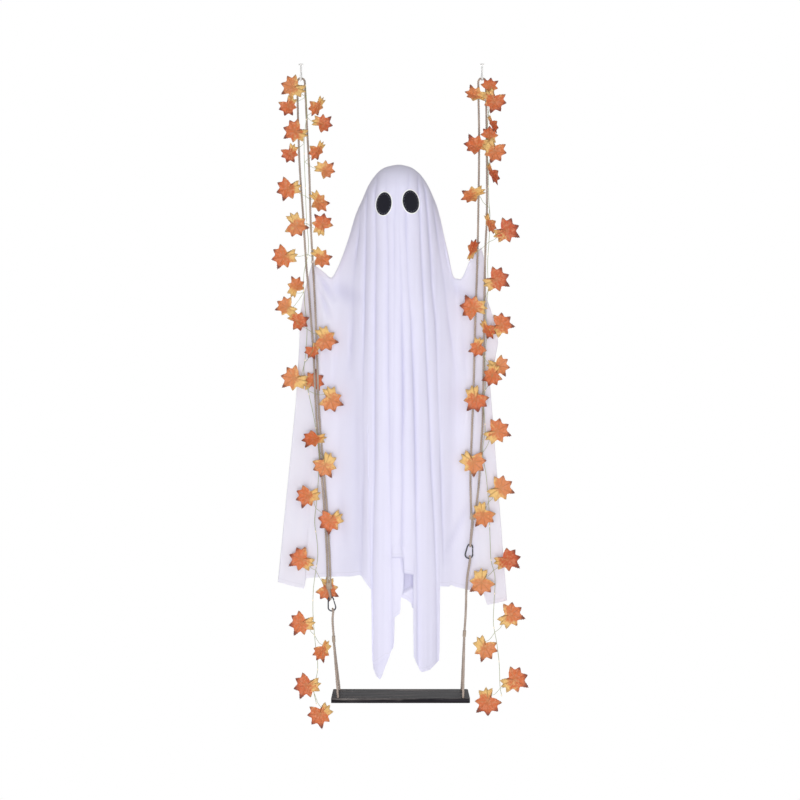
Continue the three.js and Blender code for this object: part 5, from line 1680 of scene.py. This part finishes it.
        column_round = np.maximum(self.panel_round, self.crown * np.sqrt(1 - ridge_aside**2))[None, :]
        depth, shade_tint = self.surface(
            x, z, back, self.opened(down / column_round), self.opened(down / self.panel_round) * edge
        )
        y = LAYOUT.cloth_plane + (depth if back else -depth)
        return np.stack([x, y, z], axis=-1), shade_tint, fall[None, :] - down

    def flap(
        self,
        upper: Shares,
        lower: Shares,
        behind: tuple[float, float],
        fold: Shares = (),
        shade: float = 0.0,
        rim: float = 0.0,
    ) -> tuple[np.ndarray, np.ndarray, np.ndarray]:
        """A loose piece of the front that lies before or behind the rest.

        Args:
            upper: its upper edge, across and down.
            lower: its lower edge, across and down.
            behind: how far it lies behind the front at its upper and lower edge.
            fold: a line under which it turns forwards, across and down.
            shade: how much painted shade darkens its upper part.
            rim: how dark the painted shadow line along its lower edge is.

        Returns:
            Points by row and column, the painted fold shade, and the distance to the hem.
        """
        across = np.linspace(lower[0][0], lower[-1][0], 36)
        first, last = self.read(upper, across), self.read(lower, across)
        share = np.linspace(0, 1, 22)[:, None]
        down = first[None, :] * (1 - share) + last[None, :] * share
        x = np.tile(self.middle + across * self.width, (len(share), 1))
        z = self.top - down * self.drop
        depth, shade_tint = self.surface(x, z, False, 1.0, 1.0)
        offset = behind[0] + (behind[1] - behind[0]) * share
        if fold:
            past = self.ease((down - self.read(fold, across)[None, :] + 0.001) / 0.004)
            offset = behind[0] + (behind[1] - behind[0]) * past
            share = 0.15 + 0.85 * past
        # Painted shade over the upper part, where it lies in the recess behind the front
        shade_tint = shade_tint - shade * (1 - self.ease(share * 1.2))
        # Painted shadow line along the lower edge
        ends = np.array(lower) * (self.width, self.drop)
        for start, end in zip(ends, ends[1:]):
            gap = off_line(x - self.middle, down * self.drop, start, end)[1]
            shade_tint = np.minimum(shade_tint, 1 - rim * np.exp(-((gap / self.rim_width) ** 2)))
        points = np.stack([x, LAYOUT.cloth_plane - depth + offset, z], axis=-1)
        return points, np.clip(shade_tint, 0, 1), (last[None, :] - down) * self.drop

    def shell(
        self, points: np.ndarray, faces: list[tuple[int, ...]], rims: list[tuple[int, int]]
    ) -> tuple[np.ndarray, list]:
        """Gives a skin its thickness.

        Args:
            points: the outer skin's corners.
            faces: its faces, with their normals out.
            rims: its free edges, in the order of their faces.

        Returns:
            Corners and faces of the closed shell.
        """
        normals = np.zeros_like(points)
        for face in faces:
            corners = points[list(face)]
            normal = np.cross(corners[1] - corners[0], corners[-1] - corners[0])
            normals[list(face)] += normal
        normals /= np.maximum(np.linalg.norm(normals, axis=1, keepdims=True), 1e-12)
        shift = len(points)
        whole = list(faces) + [tuple(shift + i for i in reversed(face)) for face in faces]
        whole += [(b, a, shift + a, shift + b) for a, b in rims]
        return np.concatenate([points, points - normals * self.thickness]), whole

    def grid(self, rows: int, count: int, flip: bool, numbers: np.ndarray) -> list[tuple[int, ...]]:
        """Faces of a grid of corner numbers; flipped for the back."""
        faces = []
        for row in range(rows - 1):
            for column in range(count - 1):
                places = ((row, column), (row + 1, column), (row + 1, column + 1), (row, column + 1))
                quad = list(dict.fromkeys(int(numbers[place]) for place in places))
                if len(quad) > 2:
                    faces.append(tuple(reversed(quad)) if flip else tuple(quad))
        return faces

    def main_shell(self) -> tuple[np.ndarray, list, np.ndarray, np.ndarray]:
        """Both panels, joined along the ridge and the outer edges."""
        grids = [self.panel(False), self.panel(True)]
        rows, count = grids[0][0].shape[:2]
        numbers = np.zeros((2, rows, count), dtype=int)
        points, shade_tints, hems = [], [], []
        for back, (grid, shade_tint, hem) in enumerate(grids):
            for row in range(rows):
                for column in range(count):
                    if back and (row == 0 or column in (0, count - 1)):
                        numbers[1, row, column] = numbers[0, row, column]
                        continue
                    numbers[back, row, column] = len(points)
                    points.append(grid[row, column])
                    shade_tints.append(shade_tint[row, column])
                    hems.append(hem[row, column])
        faces, rims = [], []
        for back in (0, 1):
            faces += self.grid(rows, count, bool(back), numbers[back])
            edge = [int(i) for i in numbers[back, rows - 1]]
            rims += list(zip(edge, edge[1:])) if not back else list(zip(edge[1:], edge))
        corners, whole = self.shell(np.array(points), faces, rims)
        return corners, whole, np.tile(shade_tints, 2), np.tile(hems, 2)

    def flap_shell(
        self, grid: np.ndarray, shade_tint: np.ndarray, hem: np.ndarray
    ) -> tuple[np.ndarray, list, np.ndarray, np.ndarray]:
        """One flap as a closed shell."""
        rows, count = grid.shape[:2]
        numbers = np.arange(rows * count).reshape(rows, count)
        loop = [*numbers[:, 0], *numbers[-1, 1:], *numbers[::-1, -1][1:], *numbers[0, ::-1][1:-1]]
        rims = [(int(a), int(b)) for a, b in zip(loop, loop[1:] + loop[:1])]
        corners, whole = self.shell(grid.reshape(-1, 3), self.grid(rows, count, False, numbers), rims)
        return corners, whole, np.tile(shade_tint.ravel(), 2), np.tile(hem.ravel(), 2)

    def build(self, finish: bpy.types.Material) -> bpy.types.Object:
        corners, faces, shade_tints, hems = self.main_shell()
        for flap in self.FLAPS:
            more_corners, more_faces, more_shade_tints, more_hems = self.flap_shell(*self.flap(**flap))
            shift = len(corners)
            corners = np.concatenate([corners, more_corners])
            faces += [tuple(shift + i for i in face) for face in more_faces]
            shade_tints = np.concatenate([shade_tints, more_shade_tints])
            hems = np.concatenate([hems, more_hems])
        made = piece("sheet_draped", corners, faces, finish)
        made.data.set_sharp_from_angle(angle=math.radians(62))
        # fold holds the painted crease shade
        store(made, "fold", shade_tints)
        store(made, "hem", hems)
        uv = made.data.uv_layers.new(name="cloth")
        corner = np.zeros(len(made.data.loops), dtype=np.int32)
        made.data.loops.foreach_get("vertex_index", corner)
        uv.data.foreach_set("uv", corners[:, [0, 2]][corner].astype(np.float32).ravel())
        finished(made, "ghost", "sheet_cloth", "ghost_sheet")
        return made


@dataclass(frozen=True)
class EyePlace:
    """Size, place and lean in degrees of one eye."""

    width: float
    height: float
    across: float
    drop: float
    lean: float


EYES = {
    Side.LEFT: EyePlace(0.043, 0.0645, -0.021, 0.382, 5.0),
    Side.RIGHT: EyePlace(0.0455, 0.064, 0.055, 0.3765, -7.0),
}


@dataclass
class Eyes:
    """Two black felt ovals with a stitched line and a white satin rim."""

    cloth: bpy.types.Object
    thickness: float = 0.0014
    gap: float = 0.0002
    rim: float = 0.0032
    rim_lift: float = 0.0006
    rim_flattening: float = 0.55
    rim_sides: int = 8
    sides: int = 72
    stitch_at: float = 0.86
    SHARES = (0.2, 0.4, 0.6, 0.74, 0.82, 0.86, 0.9, 0.95, 0.985, 1.0)

    def surface(self) -> BVHTree:
        """The cloth, to lay the felt on."""
        mesh = self.cloth.data
        return BVHTree.FromPolygons([v.co for v in mesh.vertices], [tuple(p.vertices) for p in mesh.polygons])

    def lay(
        self, tree: BVHTree, eye: EyePlace, reach: float, angle: float, lift: float, grow: float = 0.0
    ) -> Vector:
        """Point of an eye at a share of its size and an angle, lifted off the cloth."""
        x = (eye.width / 2 * reach + grow) * math.cos(angle)
        z = (eye.height / 2 * reach + grow) * math.sin(angle)
        cos, sin = math.cos(math.radians(eye.lean)), math.sin(math.radians(eye.lean))
        at = Vector((eye.across + x * cos + z * sin, -1.0, -eye.drop - x * sin + z * cos))
        hit, normal, _, _ = tree.ray_cast(at, Y)
        return hit + normal * lift

    def oval(self, tree: BVHTree, eye: EyePlace) -> tuple[list[Vector], list[tuple[int, ...]], list[float]]:
        """Corners and faces of one eye's felt, and where it is stitched."""
        turns = [math.tau * i / self.sides for i in range(self.sides)]
        points, stitches = [], []
        for share in self.SHARES:
            edge = 1 - max(0.0, (share - 0.93) / 0.07) ** 2 * 0.5
            dip = 0.0003 * math.exp(-(((share - self.stitch_at) / 0.02) ** 2))
            points += [self.lay(tree, eye, share, angle, self.thickness * edge - dip) for angle in turns]
            on_line = abs(share - self.stitch_at) < 0.01
            stitches += [1.0 if on_line and i % 4 < 2 else 0.0 for i in range(self.sides)]
        points += [self.lay(tree, eye, 1.0, angle, self.gap) for angle in turns]
        points += [self.lay(tree, eye, 0.0, 0.0, lift) for lift in (self.thickness, self.gap)]
        stitches += [0.0] * (self.sides + 2)
        front, rear = len(points) - 2, len(points) - 1
        last = len(self.SHARES) * self.sides
        faces = []
        for i in range(self.sides):
            j = (i + 1) % self.sides
            faces.append((front, i, j))
            for a in range(0, last, self.sides):
                b = a + self.sides
                faces.append((a + i, b + i, b + j, a + j))
            faces.append((rear, last + j, last + i))
        return points, faces, stitches

    def build(self, felt: bpy.types.Material, thread: bpy.types.Material) -> None:
        """Makes both eyes and their rims."""
        tree = self.surface()
        count = 2 * self.sides
        for side, eye in EYES.items():
            points, faces, stitches = self.oval(tree, eye)
            made = piece(f"{side.value}_eye_felt", points, faces, felt)
            store(made, "stitch", stitches)
            turn_outwards(made)
            finished(made, "ghost", "eye_felt", f"{side.value}_eye")
            turns = [math.tau * i / count for i in range(count)]
            line = [self.lay(tree, eye, 1.0, angle, self.rim_lift, self.rim / 2) for angle in turns]
            corners, faces = tube(line, self.rim / 2, self.rim_sides, closed=True)
            flat = [
                corner - Y * ((corner - line[i // self.rim_sides]).y * self.rim_flattening)
                for i, corner in enumerate(corners)
            ]
            made = piece(f"{side.value}_eye_rim", flat, faces, thread)
            store_fibres(made, self.rim_sides, 0.0012)
            turn_outwards(made)
            finished(made, "ghost", "sheet_cloth")


@dataclass
class Garlands:
    """Two light wires with their leaves, stems and small lights."""

    wire_radius: float = 0.00075
    stem_radius: float = 0.0006
    light_radius: float = 0.0019
    light_spacing: float = 0.095
    leaf_span: float = 0.08
    tip_reach: float = 1.08
    leaf_layer: float = 0.006
    leaf_thickness: float = 0.0007
    edge_share: float = 0.35
    vein_height: float = 0.0008
    vein_reach: float = 0.008
    vein_line: float = 0.0014
    light_lift: float = 0.0014
    cup: float = 2.2
    # Rings of a leaf's mesh, in shares of the way from its middle to its edge
    RINGS = (0.16, 0.34, 0.52, 0.7, 0.86, 1.0)

    # Edge of a left leaf, clockwise from the tip that points away from the wire, in shares of its span
    EDGE = (
        (0, 0.455), (0.136, 0.305), (0.325, 0.303), (0.325, 0.131), (0.455, 0.016), (0.285, -0.115),
        (0.131, -0.151), (0.148, -0.455), (0, -0.42), (-0.061, -0.493), (-0.154, -0.38), (-0.302, -0.386),
        (-0.283, -0.15), (-0.429, -0.03), (-0.304, 0.099), (-0.393, 0.341), (-0.142, 0.32),
    )
    TIPS = (0, 2, 4, 7, 9, 11, 13, 15)
    # Teeth between a tip and the next notch: share of the way, and how far out
    TEETH = ((0.16, -0.015), (0.3, 0.045), (0.4, -0.015), (0.56, 0.03), (0.66, -0.03))

    def outline(self) -> list[Vector]:
        """A leaf's edge with small teeth between its points and its notches."""
        corners = [Vector((x, 0, z)) * self.leaf_span for x, z in self.EDGE]
        for number in self.TIPS:
            corners[number] *= self.tip_reach
        result = []
        back = [(1 - at, reach) for at, reach in reversed(self.TEETH)]
        for number, (start, end) in enumerate(zip(corners, corners[1:] + corners[:1])):
            run = end - start
            out = Vector((-run.z, 0, run.x))
            teeth = self.TEETH if number in self.TIPS else back
            result.append(start)
            result += [start + run * at + out * reach for at, reach in teeth]
        return result

    def leaf(self) -> bpy.types.Object:
        """One flat left leaf in the XZ plane, with its stem side down."""
        outline = self.outline()
        veins = [math.atan2(*reversed(self.EDGE[tip])) for tip in self.TIPS]
        points, rims, stems, lines = [], [], [], []
        for thickness in (-self.leaf_thickness / 2, self.leaf_thickness / 2):
            points.append(Vector((0, thickness, 0)))
            rims.append(0.0)
            stems.append(0.4)
            lines.append(1.0)
            for share in self.RINGS:
                for corner in outline:
                    at = corner * share
                    angle = math.atan2(at.z, at.x)
                    gap = min(abs((angle - vein + math.pi) % math.tau - math.pi) for vein in veins)
                    away = gap * at.length
                    ridge = self.vein_height * (1 - min(1.0, away / self.vein_reach)) * (1 - 0.6 * share)
                    thin = thickness * (1 if share < 1 else self.edge_share)
                    points.append(Vector((at.x, thin - ridge, at.z)))
                    rims.append(min(1.0, at.length / (0.5 * self.leaf_span)))
                    stems.append(min(1.0, max(0.0, 0.4 - at.z / (0.75 * self.leaf_span))))
                    lines.append(math.exp(-((away / self.vein_line) ** 2)))
        count = len(outline)
        last, per_side = (len(self.RINGS) - 1) * count, 1 + len(self.RINGS) * count
        faces = []
        for i in range(count):
            j = (i + 1) % count
            for shift, flip in ((0, False), (per_side, True)):
                ring = [(shift, shift + 1 + j, shift + 1 + i)]
                for a in range(shift + 1, shift + 1 + last, count):
                    ring.append((a + i, a + j, a + count + j, a + count + i))
                faces += [tuple(reversed(f)) if flip else f for f in ring]
            a, b = 1 + last, per_side + 1 + last
            faces.append((a + i, a + j, b + j, b + i))
        made = piece("leaf_pattern", points, faces, bpy.data.materials.new("pattern"))
        turn_outwards(made)
        store(made, "rim", rims)
        store(made, "stem_side", stems)
        store(made, "vein", lines)
        return made

    def wire_at(self, side: Side, down: float) -> Vector:
        """Point of a light wire at a share of the drop."""
        table = np.array(ROUTES[side].light_wire)
        across = float(np.interp(down, table[:, 1], table[:, 0]))
        return LAYOUT.place((across, down), self.wire_forward())

    def wire_forward(self) -> float:
        """How far a light wire lies in front of the ropes' middle."""
        return LAYOUT.rope_radius + self.wire_radius + LAYOUT.clearance

    def stem(self, side: Side, at: float, entry: Sequence[float]) -> list[Vector]:
        """Bowed line from the light wire to a leaf's stem end."""
        across, down, turn, size, _, layer = entry
        root = self.wire_at(side, at) - Y * 0.0015
        middle = LAYOUT.place((across, down), layer * self.leaf_layer)
        angle = math.radians(turn)
        back = Vector((math.cos(angle), 0, math.sin(angle)))
        foot = middle - back * (0.2 * self.leaf_span * size)
        bow = (root + foot) / 2 - Y * 0.004 - Z * 0.006
        return smoothed([root, bow, foot, middle - back * 0.002], 0.004)

    def leaves(
        self, side: Side, pattern: bpy.types.Object, tree: bpy.types.NodeTree, finish: bpy.types.Material
    ) -> bpy.types.Object:
        """All leaves of one side."""
        entries = [entry for _, leaves in ROUTES[side].sprigs for entry in leaves]
        spots = [LAYOUT.place(entry[:2], entry[5] * self.leaf_layer) for entry in entries]
        source = piece(f"{side.value}_leaf_spots", spots, [], finish)
        numbers = {
            "turn": [math.radians(90 - entry[2]) for entry in entries],
            "size": [entry[3] for entry in entries],
            "fold": [math.radians(entry[4]) for entry in entries],
            "hand": [-side.sign for _ in entries],
            "cupped": [1.0 if entry[5] > 0 else 0.0 for entry in entries],
            "tone": np.random.default_rng(11 + side.sign).random(len(entries)),
        }
        for name, values in numbers.items():
            store(source, name, values)
        return grown(f"{side.value}_leaves", source, tree, Leaf=pattern, Cup=self.cup, Finish=finish)

    def build(
        self,
        leaf_finish: bpy.types.Material,
        wire_finish: bpy.types.Material,
        light_finish: bpy.types.Material,
    ) -> None:
        """Makes the wire, stems, lights and leaves of both sides."""
        pattern = self.leaf()
        leaves, wires, lights = leaf_tree(), wire_tree(), light_tree()
        for side in Side:
            route = ROUTES[side]
            line = smoothed([LAYOUT.place(s, self.wire_forward()) for s in route.light_wire], 0.004)
            wire = grown(
                f"{side.value}_light_wire", line_object("line", [line]), wires,
                Radius=self.wire_radius, Sides=8, Finish=wire_finish,
            )
            finished(wire, "swing", "light_wire", f"{side.value}_garland_wire")
            drops = grown(
                f"{side.value}_lights", line_object("line", [[p - Y * self.light_lift for p in line]]), lights,
                Spacing=self.light_spacing, Radius=self.light_radius, Finish=light_finish,
            )
            finished(drops, "swing", "light_wire")
            stems = [self.stem(side, at, entry) for at, entries in route.sprigs for entry in entries]
            stalks = grown(
                f"{side.value}_stems", line_object("line", stems), wires,
                Radius=self.stem_radius, Sides=6, Finish=wire_finish,
            )
            finished(stalks, "swing", "light_wire")
            made = self.leaves(side, pattern, leaves, leaf_finish)
            sprigs = [f"{side.value}_sprig_{i + 1:02d}" for i in range(len(route.sprigs))]
            finished(made, "swing", "leaf_fabric", *sprigs)
            sum((b - a).length for a, b in zip(line, line[1:]))
        bpy.data.objects.remove(pattern)


@dataclass
class HandTies:
    """String that ties each hand of the sheet to its rope."""

    string: float = 0.001
    wraps: int = 3
    wrap_pitch: float = 2.1
    sides: int = 8

    def build(self, finish: bpy.types.Material) -> None:
        """Winds each tie in a few turns, from the solid's own box."""
        for side in Side:
            low, high = (Vector(corner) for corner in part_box(f"{side.value}_hand_tie"))
            middle_z = (low.z + high.z) / 2
            rope = LAYOUT.rope_radius + LAYOUT.clearance + self.string
            ring = LAYOUT.arm_wire + LAYOUT.clearance + self.string
            rope_x = low.x + rope + self.string if side is Side.LEFT else high.x - rope - self.string
            ring_x = high.x - ring - self.string if side is Side.LEFT else low.x + ring + self.string
            front = Vector((rope_x, low.y + rope + self.string, middle_z))
            back = Vector((ring_x, high.y - ring - self.string, middle_z))
            way = back - front
            heading = math.degrees(math.atan2(way.y, way.x))
            lean = math.degrees(math.acos((rope - ring) / way.length))
            parts = []
            for wrap in range(self.wraps):
                lift = Z * ((wrap - (self.wraps - 1) / 2) * self.wrap_pitch * self.string)
                line = arc(front + lift, rope, X, Y, heading + lean, heading - lean + 360, 20)
                line += arc(back + lift * 0.6, ring, X, Y, heading - lean, heading + lean, 14)
                parts.append(tube(line, self.string, self.sides, closed=True))
            made = piece(f"{side.value}_hand_string", *together(*parts), finish)
            store_fibres(made, self.sides, 0.002)
            finished(made, "swing", "tie_string", f"{side.value}_hand_tie")


@dataclass
class ArmWire:
    """The wire that spreads the hands, with a ring at each end."""

    ring: float = 0.005
    sides: int = 10

    def build(self, finish: bpy.types.Material) -> None:
        """Bends the wire along its route and adds the rings, which stand square to the line between them."""
        line = [Vector((x, LAYOUT.cloth_plane, z)) for x, z in ARM_ROUTE]
        centres = [line[0] + Z * self.ring, line[-1] + Z * self.ring]
        rise = (centres[1] - centres[0]).normalized().cross(-Y)
        circles = [arc(at, self.ring, Y, rise, 0, 360, 24)[:-1] for at in centres]
        rings = [tube(circle, LAYOUT.arm_wire, self.sides, closed=True) for circle in circles]
        made = piece("arm_wire_bent", *together(tube(line, LAYOUT.arm_wire, self.sides), *rings), finish)
        finished(made, "ghost", "wire_steel", "arm_wire")


@dataclass
class HiddenPieces:
    """Solids that stay as they are under the cloth, each with its finish."""

    def build(self, wire: bpy.types.Material) -> None:
        """Gives each remaining solid its material."""
        case = MouldedFinish("case_plastic", (0.72, 0.72, 0.70)).build()
        cell = MetalFinish("cell_metal", (0.62, 0.42, 0.12), 0.3, 0.6).build()
        finishes = {
            "head_ball": MouldedFinish("head_plastic", (0.8, 0.8, 0.8), 0.6, 500.0, 0.0002).build(),
            "neck_rod": RodFinish().build(),
            "battery_case": case,
            "battery_lid": case,
            "power_button": MouldedFinish("button_plastic", (0.05, 0.3, 0.08), 0.35, coat=0.3).build(),
            "left_gate_pin": wire,
            "right_gate_pin": wire,
            **{f"battery_cell_{i}": cell for i in (1, 2, 3)},
        }
        for name, material in finishes.items():
            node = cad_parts[name]
            node.data.materials.clear()
            node.data.materials.append(material)
            log.info("%s keeps its solid", name)


@dataclass
class Studio:
    """Camera, lights, floor and backdrop."""

    camera_at: tuple[float, float, float] = (0.0245, -3.235, -0.936)
    lens: float = 50.3
    floor_z: float = -2.12
    air_light: float = 0.42
    floor_shade: float = 0.88
    aim_at: tuple[float, float, float] = (0.02, 0, -0.95)

    def camera(self) -> None:
        """Sets the camera level, in front of the object."""
        data = bpy.data.cameras.new("front_camera")
        data.lens = self.lens
        data.sensor_width = 36.0
        made = placed("front_camera", data)
        made.location = self.camera_at
        made.rotation_euler = (math.pi / 2, 0, 0)
        bpy.context.scene.camera = made

    def lamp(self, name: str, at: Sequence[float], size: float, power: float) -> None:
        """Adds a soft area lamp that looks at the ghost's middle.

        Args:
            name: the lamp's name.
            at: its place.
            size: its width and height.
            power: its power in watts.
        """
        data = bpy.data.lights.new(name, "AREA")
        data.shape = "SQUARE"
        data.size = size
        data.energy = power
        made = placed(name, data)
        made.location = at
        aim = Vector(self.aim_at) - Vector(at)
        made.rotation_euler = aim.to_track_quat("-Z", "Y").to_euler()

    def white_to_view(self, paint: Paint) -> None:
        """Makes a surface pure white to the camera and in gloss, and a plain shade to the rest."""
        shade = self.floor_shade
        glow = paint.node("ShaderNodeEmission", None, {"Color": (1.0, 1.0, 1.0), "Strength": 1.0})
        plain = paint.node("ShaderNodeBsdfDiffuse", None, {"Color": (shade, shade, shade)})
        mixed = paint.node("ShaderNodeMixShader", None, {0: paint.seen(), 1: plain, 2: glow})
        paint.feed(paint.tree.nodes["Material Output"].inputs["Surface"], mixed)

    def build(self) -> None:
        """Makes the whole studio."""
        self.camera()
        scene = bpy.context.scene
        scene.view_settings.view_transform = "Standard"
        scene.world = bpy.data.worlds.new("studio_air")
        scene.world.use_nodes = True
        air = Nodes(scene.world.node_tree)
        background = air.tree.nodes["Background"]
        air.feed(background.inputs["Color"], (1.0, 1.0, 1.0))
        air.feed(background.inputs["Strength"], air.seen() * (1 - self.air_light) + self.air_light)
        self.lamp("key", (-0.2, -3.5, -1.4), 1.5, 60.0)
        self.lamp("fill", (1.6, -3.0, -0.5), 1.8, 10.0)
        self.lamp("back", (0.3, 2.6, -0.4), 1.8, 34.0)
        paint = Paint("pale_floor")
        self.white_to_view(paint)
        wide, near, far, tall = 9.0, -6.0, 5.0, 5.5
        corner = (far, self.floor_z)
        for name, first, second in (("floor", (near, self.floor_z), corner), ("backdrop", corner, (far, tall))):
            corners = [(-wide, *first), (wide, *first), (wide, *second), (-wide, *second)]
            piece(name, corners, [(0, 1, 2, 3)], paint.material)


def main() -> None:
    """Builds the studio, then each sub-assembly in order."""
    logging.basicConfig(level=logging.INFO, format="%(name)s: %(message)s")
    Studio().build()
    steel = MetalFinish("dark_steel", (0.045, 0.045, 0.055), 0.3).build()
    jute = FibreFinish("jute_rope", (0.46, 0.375, 0.32), (0.19, 0.148, 0.122)).build()
    twine = FibreFinish("jute_twine", (0.55, 0.45, 0.36), (0.32, 0.24, 0.18), 0.0003).build()
    Ropes().build(jute, twine)
    Garlands().build(
        LeafFinish().build(),
        MouldedFinish("light_wire", (0.35, 0.38, 0.16), 0.4).build(),
        LightFinish().build(),
    )
    Hooks().build(MouldedFinish("hook_coating", (0.85, 0.85, 0.84), 0.35, coat=0.3).build())
    SnapLinks().build(steel)
    SeatBoard().build(BoardFinish().build())
    sheet = Cloth().build(ClothFinish().build())
    Eyes(sheet).build(
        FeltFinish("eye_felt", (0.006, 0.006, 0.01), (0.022, 0.022, 0.033)).build(),
        FibreFinish("eye_thread", (0.97, 0.97, 0.98), (0.93, 0.93, 0.95), 0.0002).build(),
    )
    HandTies().build(FibreFinish("tie_string", (0.83, 0.78, 0.72), (0.6, 0.5, 0.46), 0.0002).build())
    wire = MetalFinish("wire_steel", (0.55, 0.56, 0.57), 0.4).build()
    ArmWire().build(wire)
    HiddenPieces().build(wire)


if __name__ == "__main__":
    main()
